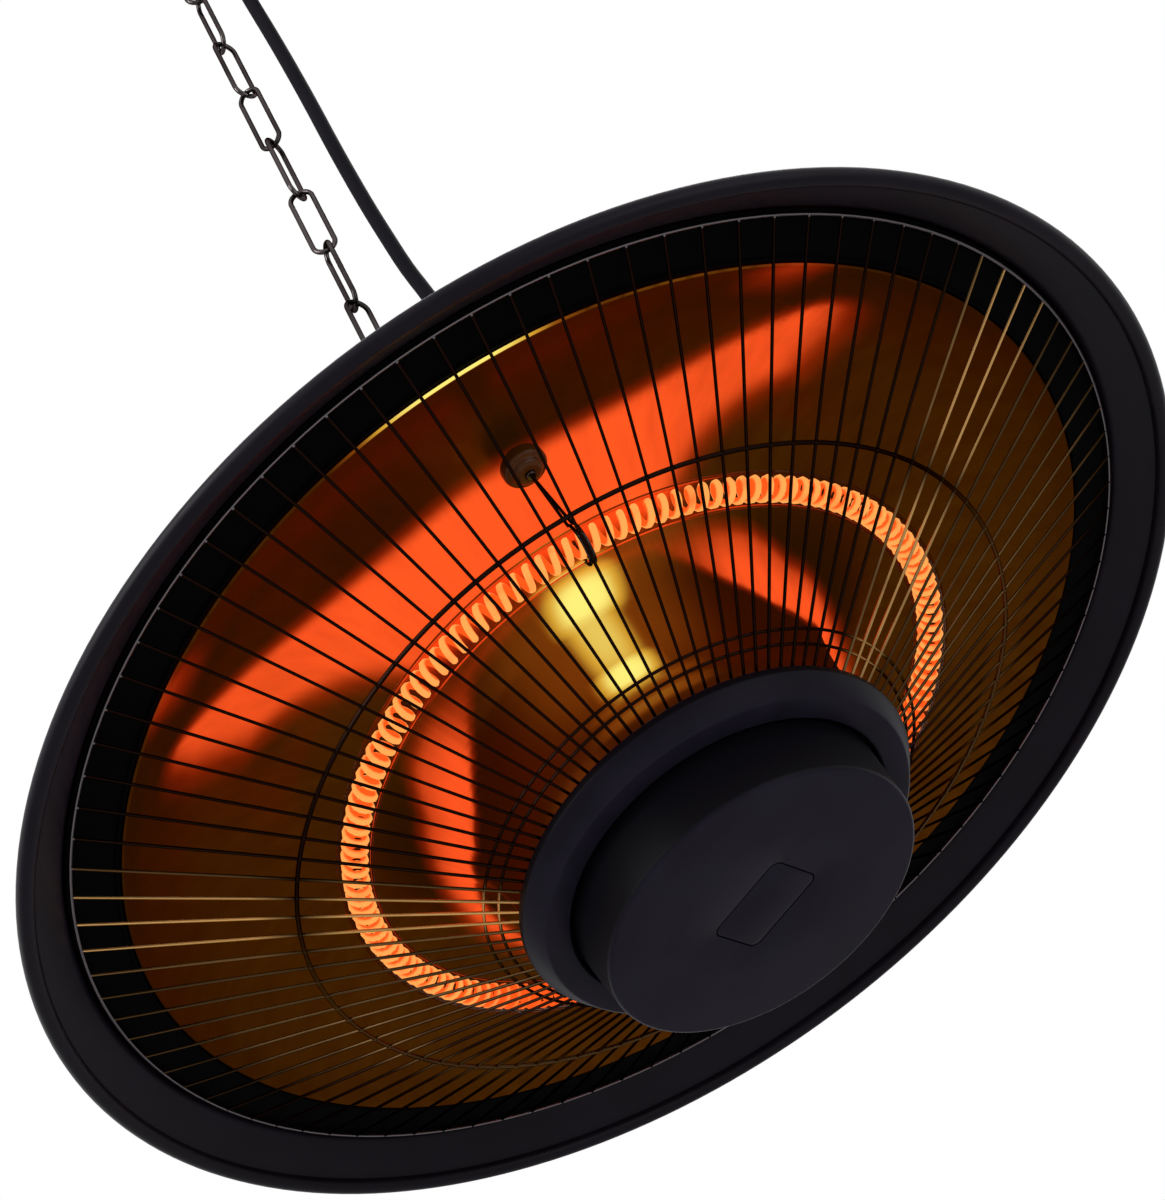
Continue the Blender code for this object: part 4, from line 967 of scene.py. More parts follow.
class Finishes:
    """What the pieces are made of."""

    SHADE = Coated("black powder coat", (0.0056, 0.0038, 0.0072), 0.4, dust=0.045, specular=0.11)
    LEDGE = Coated("black ledge", (0.0009, 0.0008, 0.001), 0.75, specular=0.03)
    # The hub's upright sides are darkened: painted shade.
    HUB = Coated(
        "charcoal hub", (0.0105, 0.0085, 0.0155), 0.42,
        grain_scale=1900.0, specular=0.06, side_shade_share=0.25,
    )
    REFLECTOR = SpunGold("spun gold", (0.06, 0.0155, 0.0013), 0.24)
    GUARD = GuardMetal("bronze guard wire", (0.014, 0.006, 0.004), 0.26)
    # The sides values of these metals brighten them where seen edge-on: a painted sheen.
    CHAIN = Plated(
        "gunmetal plating", (0.095, 0.08, 0.08), 0.17, sides=1.6, grazing=(0.12, 0.1, 0.1)
    )
    ZINC = Plated("zinc plating", (0.46, 0.46, 0.48), 0.34, tarnish=0.7, sides=1.3)
    STEEL = Plated("blackened steel", (0.12, 0.12, 0.125), 0.36, sides=1.5)
    PIN = Plated("nickel plated pin", (0.56, 0.54, 0.5), 0.22, tarnish=0.8, sides=1.3)
    QUARTZ = ClearQuartz("clear quartz", (1.0, 0.78, 0.66), 0.02)
    COIL = HotWire("hot coil", (1.0, 0.45, 0.12), 0.5)
    CERAMIC = Coated("unglazed ceramic", (0.5, 0.4, 0.28), 0.7, grain_scale=900.0, pale=1.15)
    AMBER = Coated("amber bead", (0.075, 0.022, 0.003), 0.3, grain_scale=600.0, specular=0.2)
    CORD = Coated(
        "cord sheath", (0.0085, 0.0075, 0.0105), 0.6,
        grain_scale=1100.0, dust=0.02, specular=0.03,
    )
    RUBBER = Coated(
        "moulded rubber", (0.0085, 0.0075, 0.0095), 0.56,
        grain_scale=1200.0, dust=0.06, specular=0.2,
    )
    PLASTIC = Coated("switch plastic", (0.01, 0.01, 0.011), 0.34, grain_scale=1600.0, specular=0.3)
    SLEEVE = Braided("glass braid sleeve", (0.62, 0.58, 0.5), 0.8)
    STRAP = Braided("woven strap", (0.012, 0.012, 0.014), 0.85, thread=0.0006)


# Ceiling fitting and chain


@dataclass
class CeilingFitting:
    """The plate on the ceiling, the hook under it and its two screws."""

    radius: float = 0.032
    thickness: float = 0.003
    edge: float = 0.0008
    wire: float = 0.002
    bowl: float = 0.0085
    drop: float = 0.035
    collar_radius: float = 0.006
    collar_height: float = 0.004
    opening_deg: float = 55
    screw_circle: float = 0.022

    def build(self) -> None:
        """Build the plate, the hook and the screws."""
        low = -self.thickness
        inside = self.radius - self.edge * 4
        raised_floor = low + self.edge / 2
        outline = [(0, 0), (self.radius, 0)]
        outline += arc((self.radius - self.edge, low + self.edge), self.edge, 0, -90, 4)
        outline += [(inside, low), (inside - self.edge, raised_floor), (0, raised_floor)]
        plate = Piece("pressed_ceiling_plate", Body.CEILING, Slot.BLACK_STEEL, ("ceiling_plate",))
        plate.deliver(Form(softened(turned(outline, 96), 0.0001)), Finishes.SHADE)

        top = low - GAP
        centre = self.bowl - self.drop
        end = top - self.collar_height
        start = 180 - self.opening_deg
        bowl = arc((0, centre), self.bowl, start, 360 + self.opening_deg / 2, 40)
        neck = [(0, end + self.wire), (0, end - self.wire)]
        line = [(x, 0, z) for x, z in neck + bowl]
        line = [tuple(p) for p in smooth_line(line[:3], 6)] + line[3:]
        hook = swept(line, self.rounded_tip(line), 20)
        collar = [(0, top), (self.collar_radius, top), (self.collar_radius, end), (0, end)]
        piece = Piece("bent_ceiling_hook", Body.CEILING, Slot.CHAIN, ("ceiling_hook",))
        piece.deliver(Form(hook, softened(turned(collar, 32), 0.0005)), Finishes.CHAIN)
        for i, turn_deg in enumerate((90, 270)):
            place = Matrix.Translation(on_circle(self.screw_circle, turn_deg, top))
            downward = place @ Matrix.Diagonal((1, 1, -1, 1))
            screw = ScrewHead(radius=0.0038, height=0.0022)
            screw.build(f"ceiling_screw_{i + 1}", downward, Body.CEILING)

    def rounded_tip(self, line: Sequence[Sequence[float]]) -> list[float]:
        """Return the wire's radius along the hook, rounded off at its free end."""
        left = [math.dist(point, line[-1]) for point in line]
        return [self.wire * math.sqrt(1 - max(0, 1 - (d + 0.0001) / self.wire) ** 2) for d in left]


@dataclass
class ScrewHead:
    """A round screw head with a round recess."""

    radius: float
    height: float

    def build(self, node: str, frame: Matrix, body: Body) -> None:
        """Build one head, which stands on its frame's origin.

        Args:
            node: the CAD node that it stands for.
            frame: where it stands.
            body: what it rides on.
        """
        radius, height = self.radius, self.height
        recess = radius * 0.32
        outline = [(0, 0), (radius, 0), (radius, height * 0.25)]
        outline += [(radius * 0.9, height * 0.65), (radius * 0.65, height * 0.93)]
        outline += [(recess, height), (recess * 0.9, height * 0.5), (0, height * 0.4)]
        form = Form(softened(turned(outline, 32), self.radius * 0.03))
        bmesh.ops.recalc_face_normals(form.placed(frame).mesh, faces=form.mesh.faces)
        piece = Piece(node.replace("screw", "screw_head"), body, Slot.ZINC, (node,))
        piece.deliver(form, Finishes.ZINC)


@dataclass
class Chain:
    """Ten welded links."""

    wire: float = 0.00105
    half_width: float = 0.0046
    pitch: float = 0.0352
    crown: float = -0.0317
    turns_deg: tuple[float, ...] = (90, 18, -55, 55, -13, 77, 8, -60, 51, -19)

    def build(self) -> None:
        """Build the links from the ceiling down."""
        length = self.pitch + self.wire * 2 + GAP
        straight = length / 2 - self.half_width
        top = arc((0, straight), self.half_width, 0, 180, 14)
        foot = arc((0, -straight), self.half_width, 180, 360, 14)
        path = [(x, 0, z - length / 2) for x, z in top + foot]
        for i, turn_deg in enumerate(self.turns_deg):
            form = Form(swept(path, self.wire, 14, closed=True))
            form.add(self.weld(straight - length / 2))
            place = raised(self.crown - i * self.pitch)
            form.placed(HANGING.chain() @ place @ rotated(turn_deg))
            body = Body.TOP_LINK if i == 0 else Body.CHAIN
            number = f"{i + 1:02d}"
            piece = Piece(f"welded_link_{number}", body, Slot.CHAIN, (f"chain_link_{number}",))
            piece.deliver(form, Finishes.CHAIN)

    def weld(self, height: float) -> BMesh:
        """Return the low bead of the weld in the middle of one straight side."""
        bead = [(0, -0.0011), (0.00098, -0.0007), (0.00112, 0), (0.00098, 0.0007), (0, 0.0011)]
        made = turned(bead, 14)
        made.transform(Matrix.Translation((self.half_width, 0, height - self.pitch / 2 + 0.004)))
        return made


@dataclass
class SnapHook:
    """The snap hook between the chain and the heater's eye, and its gate."""

    wire: float = 0.00175
    length: float = 0.0375
    half_width: float = 0.0085
    gate_top: float = 0.0265
    gate_bottom: float = 0.0095

    def build(self) -> None:
        """Build the bent wire and the gate."""
        straight = self.length / 2 - self.half_width
        lower = arc((0, self.length / 2 - straight), self.half_width, 360, 180, 24)
        upper = arc((0, self.length / 2 + straight), self.half_width, 180, 0, 24)
        line = [(self.half_width, self.gate_bottom - GAP), *lower, *upper]
        line += [(self.half_width, self.gate_top + self.wire + GAP)]
        form = Form(softened(swept([(0, y, z) for y, z in line], self.wire, 18), 0.0004))
        piece = Piece("snap_hook_wire", Body.CHAIN, Slot.CHAIN, ("snap_hook",))
        piece.deliver(form.placed(HANGING.pivot()), Finishes.CHAIN)
        fall = self.gate_bottom - self.gate_top
        outline = [*arc((0, 0), self.wire, 90, 0, 8), (self.wire, fall * 0.82)]
        outline += [(self.wire * 0.86, fall * 0.84), (self.wire * 0.86, fall + 0.0002), (0, fall)]
        gate = Form(softened(turned(outline, 24), 0.00015))
        place = Matrix.Translation((0, self.half_width, self.gate_top))
        piece = Piece("sprung_gate", Body.GATE, Slot.ZINC, ("snap_gate",))
        piece.deliver(gate.placed(HANGING.pivot() @ place), Finishes.ZINC)


# Shade and reflector


@dataclass
class Shade:
    """The turned black shade and the ring that closes it to the reflector."""

    rim: float = 0.2122
    bead: float = 0.0029
    sheet: float = 0.0012
    step_radius: float = 0.1952
    step_height: float = 0.0086
    top: float = 0.078
    hole: float = 0.0063
    join_deg: float = 150
    dome: tuple[Point, ...] = ((0.34, 1.0), (0.53, 0.9), (0.72, 0.69), (0.88, 0.41), (0.975, 0.16))
    ledge_inner: Point = (0.1776, 0.0057)
    ledge_knee: float = 0.0019
    ledge_outer: Point = (0.1931, 0.0099)
    sides: int = 192

    def build(self) -> None:
        """Build the shade and the ledge ring."""
        rise = self.top - self.step_height
        points = [(self.step_radius * r, self.step_height + rise * z) for r, z in self.dome]
        points.append((self.step_radius, self.step_height))
        dome = flat(smooth_line(points, 8))
        centre = (self.rim - self.bead, 0)
        join = arc(centre, self.bead, self.join_deg, self.join_deg, 1)[0]
        run, fall = join[0] - self.step_radius, join[1] - self.step_height
        middle = (self.step_radius + run * 0.5, self.step_height + fall * 0.55)
        flange = flat(smooth_line([dome[-1], middle, join], 6))
        upper, lower = sheet_sides([(self.hole, self.top), *dome, *flange[1:]], self.sheet)
        spread = math.degrees(math.asin(self.sheet / 2 / self.bead))
        edge = arc(centre, self.bead, self.join_deg - spread, self.join_deg - 360 + spread, 22)
        form = Form(turned(upper[:-1] + edge + lower[-2::-1], self.sides))
        piece = Piece("turned_shade", Body.HEATER, Slot.BLACK_STEEL, ("shade",))
        piece.deliver(form.placed(HANGING.heater()), Finishes.SHADE, 50)

        knee = (self.ledge_inner[0] + self.sheet / 2, self.ledge_inner[1] + self.ledge_knee)
        upper, lower = sheet_sides([self.ledge_inner, knee, self.ledge_outer], self.sheet)
        form = Form(softened(turned(upper + lower[::-1], self.sides), 0.0002))
        piece = Piece("ledge_band", Body.HEATER, Slot.BLACK_STEEL, ("ledge_ring",))
        piece.deliver(form.placed(HANGING.heater()), Finishes.LEDGE)


@dataclass
class Reflector:
    """The spun reflector, with a painted reflection of the tube's glow on it."""

    sheet: float = 0.0008
    edge: Point = (0.1761, 0.0054)
    ceiling: float = 0.030
    neck: float = 0.0605
    floor: float = -0.0528
    seat: float = 0.040
    neck_shares: tuple[Point, ...] = ((0.022, 0.1), (0.045, 0.4), (0.1, 0.65), (0.22, 0.88))
    trough_shares: tuple[Point, ...] = ((0.38, 1.0), (0.56, 0.98), (0.76, 0.75), (0.92, 0.32))
    sides: int = 240
    chords: int = 10

    def middle_line(self) -> list[Vector]:
        """Return the sheet's middle line from the neck's foot out to the edge."""
        run = self.edge[0] - self.neck
        climb, fall = self.ceiling - self.floor, self.ceiling - self.edge[1]
        points = [(self.neck, self.floor)]
        points += [(self.neck + run * r, self.floor + climb * z) for r, z in self.neck_shares]
        points += [(self.neck + run * r, self.edge[1] + fall * z) for r, z in self.trough_shares]
        return smooth_line([*points, self.edge], self.chords)

    def build(self) -> None:
        """Build the reflector and paint on it the reflections of the tube's glow and of a lamp."""
        line = flat(self.middle_line())
        upper, lower = sheet_sides([(self.seat, self.floor), *line], self.sheet)
        form = Form(turned(upper + lower[::-1], self.sides))
        piece = Piece("spun_reflector", Body.HEATER, Slot.GOLD, ("reflector",))
        item = piece.deliver(form.placed(HANGING.heater()), Finishes.REFLECTOR, 60)
        glow = PaintedReflections(line)
        paint(item, "painted_tube_glow", HANGING.heater(), glow.tube_reflection)
        paint(item, "painted_lamp_highlight", HANGING.heater(), glow.painted_lamp_highlight)


@dataclass
class PaintedReflections:
    """The painted reflections of the glowing tube and of a lamp on the reflector.

    A place on the reflector is the angle from the bright side and the share of the way
    in from the edge to the neck's foot. The arch is the light on the trough, the collar
    that on the neck: its rows give an angle, the middle and half of its width.
    """

    line: list[Point]
    bright_side_deg: float = 275.0
    arch_inside: tuple[float, float, float] = (0.41, 0.243, 49)
    arch_outside: tuple[float, float, float] = (59, 0.317, 74)
    collar: tuple[tuple[float, float, float], ...] = (
        (0, 0.655, 0.008),
        (28, 0.66, 0.012),
        (45, 0.695, 0.053),
        (60, 0.715, 0.075),
        (75, 0.728, 0.063),
        (98, 0.667, 0.05),
        (113, 0.595, 0.045),
        (126, 0.495, 0.036),
        (139, 0.375, 0.024),
        (152, 0.28, 0.008),
    )

    def __post_init__(self) -> None:
        """Measure the way in along the sheet."""
        ways = [0.0]
        inward = self.line[::-1]
        for before, after in zip(inward, inward[1:]):
            ways.append(ways[-1] + math.dist(before, after))
        self.inward = [(point, way / ways[-1]) for point, way in zip(inward, ways)]
        self.known: dict[Point, float] = {}

    def place(self, point: Vector) -> tuple[float, float]:
        """Return the angle and the share of the way in of a point of the heater's frame."""
        spot = (round(math.hypot(point.x, point.y), 5), round(point.z, 5))
        if spot not in self.known:
            self.known[spot] = min(self.inward, key=lambda step: math.dist(step[0], spot))[1]
        return signed_turn(point, self.bright_side_deg), self.known[spot]

    def tube_reflection(self, point: Vector) -> float:
        """Return how brightly the tube's painted reflection makes a point glow, from 0 to 1."""
        turn, way = self.place(point)
        far = abs(turn)
        return min(1.0, max(self.arch_light(far, way), self.collar_light(far, way)))

    def arch_light(self, far: float, way: float) -> float:
        """Return the light of the arch on the trough, with its two faint horns."""
        top, depth, side = self.arch_inside
        inside = top - depth * (far / side) ** 3.3
        wide, knee, slope = self.arch_outside
        outside = wide - slope * max(way - knee, 0) - 36 * max(0.2 - way, 0)
        arms = 1 - self.fade(way, 0.09, 0.155)
        arms *= 1 - self.fade(way, inside - 0.035, inside + 0.04)
        light = arms * self.fade(far, outside - 8, outside + 4) * self.fade(way, 0.58, 0.66)
        horns = self.band(far, 40.5, 3.5) * self.fade(way, 0.03, 0.16) * 0.45
        return max(light * (0.86 + 0.14 * self.fade(far, 20, 45)), horns)

    def collar_light(self, far: float, way: float) -> float:
        """Return the light of the collar on the neck."""
        for (angle, middle, half), after in zip(self.collar, self.collar[1:]):
            if far <= after[0]:
                share = (far - angle) / (after[0] - angle)
                middle += (after[1] - middle) * share
                half += (after[2] - half) * share
                break
        else:
            return 0.0
        lower = self.fade(way, middle + half - 0.012, middle + half + 0.016)
        upper = 1 - self.fade(way, middle - half - 0.035, middle - half + 0.022)
        level = 0.35 + 0.65 * (1 - self.fade(far, 28, 55)) - 0.12 * (1 - self.fade(far, 105, 150))
        depth = 0.68 + 0.32 * (1 - self.fade(way, middle - half, middle + half * 0.4))
        return lower * upper * level * depth

    def painted_lamp_highlight(self, point: Vector) -> float:
        """Return how much of the painted lamp highlight falls on a point, from 0 to 1."""
        turn, way = self.place(point)
        high = self.band(turn, 6 - 30 * (way - 0.7), 10) * self.band(way, 0.704, 0.048)
        low = self.band(turn, 4, 8.5) * self.band(way, 0.87, 0.032)
        body = self.band(turn, 4, 8) * self.band(way, 0.775, 0.12) * 0.72
        olive = self.band(turn, 3, 25) * self.band(way, 0.775, 0.13) * 0.2
        pair = self.band(way, 0.913, 0.012) + self.band(way, 0.945, 0.012)
        stripes = self.band(turn, 5, 16) * pair * 0.3
        rim = self.band(turn, 2.5, 9 - 120 * min(way, 0.047)) * self.fade(way, 0.01, 0.05) * 0.95
        return min(1.0, max(high, low, body, rim, olive, stripes))

    @staticmethod
    def band(value: float, middle: float, half: float) -> float:
        """Return 1 in the middle of a soft band and 0 well outside it."""
        return math.exp(-abs((value - middle) / half) ** 3 * 0.7)

    @staticmethod
    def fade(value: float, start: float, end: float) -> float:
        """Return 1 before start, 0 after end, and a smooth step between."""
        share = min(max((end - value) / (end - start), 0), 1)
        return share * share * (3 - 2 * share)


@dataclass
class Guard:
    """The cage of 96 wires on its rings."""

    wire: float = 0.00053
    count: int = 96
    outer: Point = (0.1922, 0.0077)
    middle: Point = (0.1302, -0.0218)
    inner: Point = (0.067, -0.053)
    near_hub: tuple[float, ...] = (0.0742, 0.0785)
    middle_wire: float = 0.00076
    dot: float = 0.0011
    sheen_turn_deg: float = 69
    sheen_spread_deg: float = 5.5

    def build(self) -> None:
        """Build the wires, the rings and the welds between them."""
        form = Form(*[self.wire_copy(i) for i in range(self.count)])
        rings = [(self.outer, self.wire), (self.middle, self.middle_wire)]
        rings += [(ring, self.wire) for ring in self.near_rings()]
        for (radius, height), wire in rings:
            centre = arc((0, 0), radius, 0, 360, 180)[:-1]
            form.add(swept([(x, y, height) for x, y in centre], wire, 8, closed=True))
        piece = Piece("guard_cage", Body.HEATER, Slot.GUARD, ("wire_guard",))
        item = piece.deliver(form.placed(HANGING.heater()), Finishes.GUARD)
        paint(item, "painted_gold_sheen", HANGING.heater(), self.painted_gold_sheen)

    def near_rings(self) -> list[Point]:
        """Return the two small rings next to the hub, which lie on the wires."""
        (inner, low), (middle, high) = self.inner, self.middle
        run, rise = middle - inner, high - low
        return [(r, low + rise * (r - inner) / run + self.wire) for r in self.near_hub]

    def wire_copy(self, number: int) -> BMesh:
        """Return one of the wires, with its weld to the middle ring."""
        bend = flat(smooth_line([self.inner, self.middle, self.outer], 5))
        line = [self.inner, *bend[4:7], self.outer]
        made = swept([(radius, 0, height) for radius, height in line], self.wire, 8)
        dot = Matrix.Translation((self.middle[0], 0, self.middle[1]))
        bmesh.ops.create_icosphere(made, subdivisions=1, radius=self.dot, matrix=dot)
        made.transform(Matrix.Rotation(FULL_TURN * number / self.count, 4, "Z"))
        return made

    def painted_gold_sheen(self, point: Vector) -> float:
        """Return how much painted gold sheen, a reflection of the tube's glow, a point of the guard
        gets.
        """
        far = abs(signed_turn(point, PaintedReflections.bright_side_deg))
        radius = math.hypot(point.x, point.y)
        # The middle ring gets a little painted sheen near the bright side.
        if abs(radius - self.middle[0]) < self.middle_wire * 1.3:
            return 0.1 * (1 - PaintedReflections.fade(far, 60, 95))
        gold_sheen = PaintedReflections.band(far, self.sheen_turn_deg, self.sheen_spread_deg)
        faint = 0.1 * PaintedReflections.band(far, self.sheen_turn_deg + 14, 16)
        return max(gold_sheen, faint)


# Hub


@dataclass
class Hub:
    """The collar under the guard, the cup in it and the bare badge place."""

    top: float = -0.054
    collar: float = 0.0703
    edge: float = 0.0012
    band: float = 0.002
    lower: float = 0.066
    height: float = 0.0105
    plate: float = 0.0025
    recess: float = 0.057
    hole: float = 0.0063
    cup_top: float = 0.0562
    cup_bottom: float = 0.0549
    cup_floor: float = -0.0854
    fillet: float = 0.0015
    wall: float = 0.0025
    floor: float = 0.0045
    badge: tuple[float, float, float] = (0.0306, 0.0213, 0.003)
    groove: float = 0.0004
    badge_depth: float = 0.001
    badge_turn_deg: float = -20.1
    floor_ring: float = 0.03
    sides: int = 144

    def build(self) -> None:
        """Build the collar, the cup and the badge blank."""
        under, low = self.top - self.plate, self.top - self.height
        outline = [(self.hole, self.top), (self.collar - self.edge, self.top)]
        outline += arc((self.collar - self.edge, self.top - self.edge), self.edge, 80, 0, 6)
        outline += [(self.collar, self.top - self.edge - self.band), (self.lower, low + 0.0004)]
        outline += [(self.lower - 0.0006, low), (self.recess + 0.0006, low)]
        outline += [(self.recess, low + 0.0006)]
        outline += [(self.recess, under), (self.hole, under)]
        form = Form(softened(turned(outline, self.sides), 0.0003))
        piece = Piece("collar_ring", Body.HEATER, Slot.HUB_BLACK, ("hub_collar",))
        piece.deliver(form.placed(HANGING.heater()), Finishes.HUB)
        piece = Piece("hub_cup_shell", Body.HEATER, Slot.HUB_BLACK, ("hub_cup",))
        piece.deliver(Form(self.cup(under - GAP)).placed(HANGING.heater()), Finishes.HUB)

        place = raised(self.cup_floor + self.badge_depth / 2)
        blank = slab(rounded_rectangle(*self.badge, 10), self.badge_depth)
        piece = Piece("badge_blank", Body.HEATER, Slot.HUB_BLACK, ("hub_badge_plate",))
        form = Form(softened(blank, 0.00025))
        form.placed(HANGING.heater() @ place @ rotated(self.badge_turn_deg))
        piece.deliver(form, Finishes.HUB)

    def cup(self, top: float) -> BMesh:
        """Return the cup, whose floor has a pocket for the badge."""
        floor = self.cup_floor + self.floor
        corner = (self.cup_bottom - self.fillet, self.cup_floor + self.fillet)
        outline = [(0, floor), (self.cup_bottom - self.wall, floor)]
        outline += [(self.cup_top - self.wall, top), (self.cup_top, top)]
        outline += arc(corner, self.fillet, 0, -90, 6)
        outline += [(self.floor_ring, self.cup_floor), (0, self.cup_floor)]
        made = turned(outline, self.sides)
        under = [v for v in made.verts if v.co.z < self.cup_floor + WELD]
        inside = [v for v in under if v.co.xy.length < self.floor_ring - WELD]
        bmesh.ops.delete(made, geom=inside, context="VERTS")
        length, width, corner_radius = self.badge
        grown = self.groove * 2
        points = rounded_rectangle(length + grown, width + grown, corner_radius + self.groove, 10)
        depth = self.badge_depth + GAP
        pocket = slab(points, depth)
        pocket.transform(raised(self.cup_floor + depth / 2) @ rotated(self.badge_turn_deg))
        lid = min(pocket.faces, key=lambda face: face.calc_center_median().z)
        bmesh.ops.delete(pocket, geom=[lid], context="FACES_ONLY")
        bmesh.ops.reverse_faces(pocket, faces=pocket.faces)
        held = Form(made, pocket).mesh
        edges = [e for e in held.edges if e.is_boundary]
        bmesh.ops.triangle_fill(held, edges=edges, use_beauty=True)
        bmesh.ops.recalc_face_normals(held, faces=held.faces)
        return softened(held, 0.00012, 2, 60)


# Heating tube


@dataclass
class HeatingTube:
    """The quartz tube, the coil in it and what holds it."""

    ring: float = 0.10639
    height: float = -0.0124
    tube: float = 0.00575
    wall: float = 0.0009
    gap_deg: float = 11
    coil: float = 0.0033
    strand: float = 0.0012
    curls: int = 134
    curl_steps: int = 12
    cap: float = 0.0075
    cap_length: float = 0.013
    bead_ring: float = 0.10999
    bead_top: float = 0.0288
    bead: float = 0.0075
    bead_neck: float = 0.0045
    bead_height: float = 0.009
    bead_turn_deg: float = 282.5
    wire: float = 0.0007
    loop_deg: float = 298

    def build(self) -> None:
        """Build the glass, the coil, the end caps, the bead and its wire."""
        glass = swept(self.middle_line(), self.tube, 28)
        caps = [face for face in glass.faces if len(face.verts) > 4]
        bmesh.ops.delete(glass, geom=caps, context="FACES_ONLY")
        bmesh.ops.recalc_face_normals(glass, faces=glass.faces)
        bmesh.ops.solidify(glass, geom=glass.faces, thickness=self.wall)
        bmesh.ops.recalc_face_normals(glass, faces=glass.faces)
        piece = Piece("quartz_glass", Body.HEATER, Slot.QUARTZ, ("quartz_tube",))
        piece.deliver(Form(glass).placed(HANGING.heater()), Finishes.QUARTZ)

        piece = Piece("heating_coil", Body.HEATER, Slot.FILAMENT, ("filament",))
        form = Form(swept(self.coil_line(), self.strand, 8)).placed(HANGING.heater())
        item = piece.deliver(form, Finishes.COIL, 80)
        paint(item, "painted_strand_light", HANGING.heater(), self.strand_light_and_shade)
        for side, name in ((-1, "right"), (1, "left")):
            self.build_cap(side, name)
        self.build_support()

    def end(self, side: int) -> tuple[Vector, Vector]:
        """Return the tube's end at one side of its gap, and the way that it points."""
        turn_deg = 90 + side * self.gap_deg
        return on_circle(self.ring, turn_deg, self.height), on_circle(1, turn_deg - side * 90)

    def middle_line(self) -> list[Vector]:
        """Return the tube's middle line, straight at its two ends."""
        (left, to_right), (right, to_left) = self.end(1), self.end(-1)
        sweep, steps = 360 - 2 * self.gap_deg, 150
        turns = [90 + self.gap_deg + sweep * i / steps for i in range(4, steps - 3)]
        ring = [on_circle(self.ring, turn, self.height) for turn in turns]
        return [left, left - to_right * self.tube, *ring, right - to_left * self.tube, right]

    def coil_line(self) -> list[Vector]:
        """Return the middle line of the coil's strand."""
        start, sweep = 90 + self.gap_deg + 1.5, 360 - 2 * (self.gap_deg + 1.5)
        points = []
        count = self.curls * self.curl_steps
        for i in range(count + 1):
            curl = FULL_TURN * i / self.curl_steps
            radius = self.ring + self.coil * math.cos(curl)
            height = self.height + self.coil * math.sin(curl)
            points.append(on_circle(radius, start + sweep * i / count, height))
        return points

    def strand_light_and_shade(self, point: Vector) -> float:
        """Return how far out on the strand a point lies, from -1 to 1, less on the far side:
        painted shade.
        """
        # The far side of the ring gets painted shade.
        far_side_shade = 1 - PaintedReflections.fade(abs(signed_turn(point, PaintedReflections.bright_side_deg)), 104, 138)
        across = math.hypot(point.x, point.y) - self.ring
        return (math.hypot(across, point.z - self.height) - self.coil) / self.strand - far_side_shade

    def build_cap(self, side: int, name: str) -> None:
        """Build the ceramic cap on one end of the tube."""
        end, along = self.end(side)
        half, mouth = self.cap_length / 2, self.cap * 0.93
        outline = [(0, -half), (mouth, -half), (self.cap, -half + 0.0012), (self.cap, half * 0.3)]
        groove = self.cap * 0.92
        outline += [(groove, half * 0.36), (groove, half * 0.52), (self.cap, half * 0.58)]
        outline += [(self.cap, half - 0.0012), (mouth, half), (0, half)]
        turn = along.to_track_quat("Z", "Y").to_matrix().to_4x4()
        place = Matrix.Translation(end + along * (GAP + half)) @ turn
        form = Form(softened(turned(outline, 40), 0.0002)).placed(HANGING.heater() @ place)
        piece = Piece(f"ceramic_cap_{name}", Body.HEATER, Slot.CERAMIC, (f"end_cap_{name}",))
        piece.deliver(form, Finishes.CERAMIC)

    def build_support(self) -> None:
        """Build the bead under the reflector and the wire that holds the tube."""
        slope = self.bead - self.bead_neck
        low = self.bead_top - self.bead_height
        outline = [(0, self.bead_top), (self.bead_neck, self.bead_top)]
        outline += [(self.bead, self.bead_top - slope)]
        outline += [(self.bead, low + slope), (self.bead * 0.9, low + slope * 0.72)]
        outline += [(self.bead * 0.72, low + slope * 0.66), (self.bead * 0.66, low + slope * 0.3)]
        outline += [(self.bead_neck * 0.8, low), (0, low)]
        place = Matrix.Translation(on_circle(self.bead_ring, self.bead_turn_deg))
        form = Form(softened(turned(outline, 48), 0.0005, 3)).placed(HANGING.heater() @ place)
        piece = Piece("support_bead_body", Body.HEATER, Slot.CERAMIC, ("support_bead",))
        piece.deliver(form, Finishes.AMBER)

        loop = self.tube + GAP + self.wire
        meet = math.degrees(math.acos((self.bead_ring - self.ring) / loop))
        circle = arc((self.ring, self.height), loop, meet, meet - self.loop_deg, 40)
        start = (self.bead_ring, low - GAP)
        strands = Form()
        for side in (-1, 1):
            line = [(start[0], 0, start[1]), *[(r, side * self.wire * 1.1, z) for r, z in circle]]
            strands.add(swept(line, self.wire * 0.75, 10))
        foot, head = low - 0.0011, low - 0.0002
        knot = turned([(0, foot), (0.0016, foot), (0.0019, head), (0, head)], 16)
        strands.add(softened(knot, 0.0002), Matrix.Translation((self.bead_ring, 0, 0)))
        strands.placed(HANGING.heater() @ rotated(self.bead_turn_deg))
        piece = Piece("support_loop", Body.HEATER, Slot.CHAIN, ("support_wire",))
        piece.deliver(strands, Finishes.CHAIN)


# Top housing


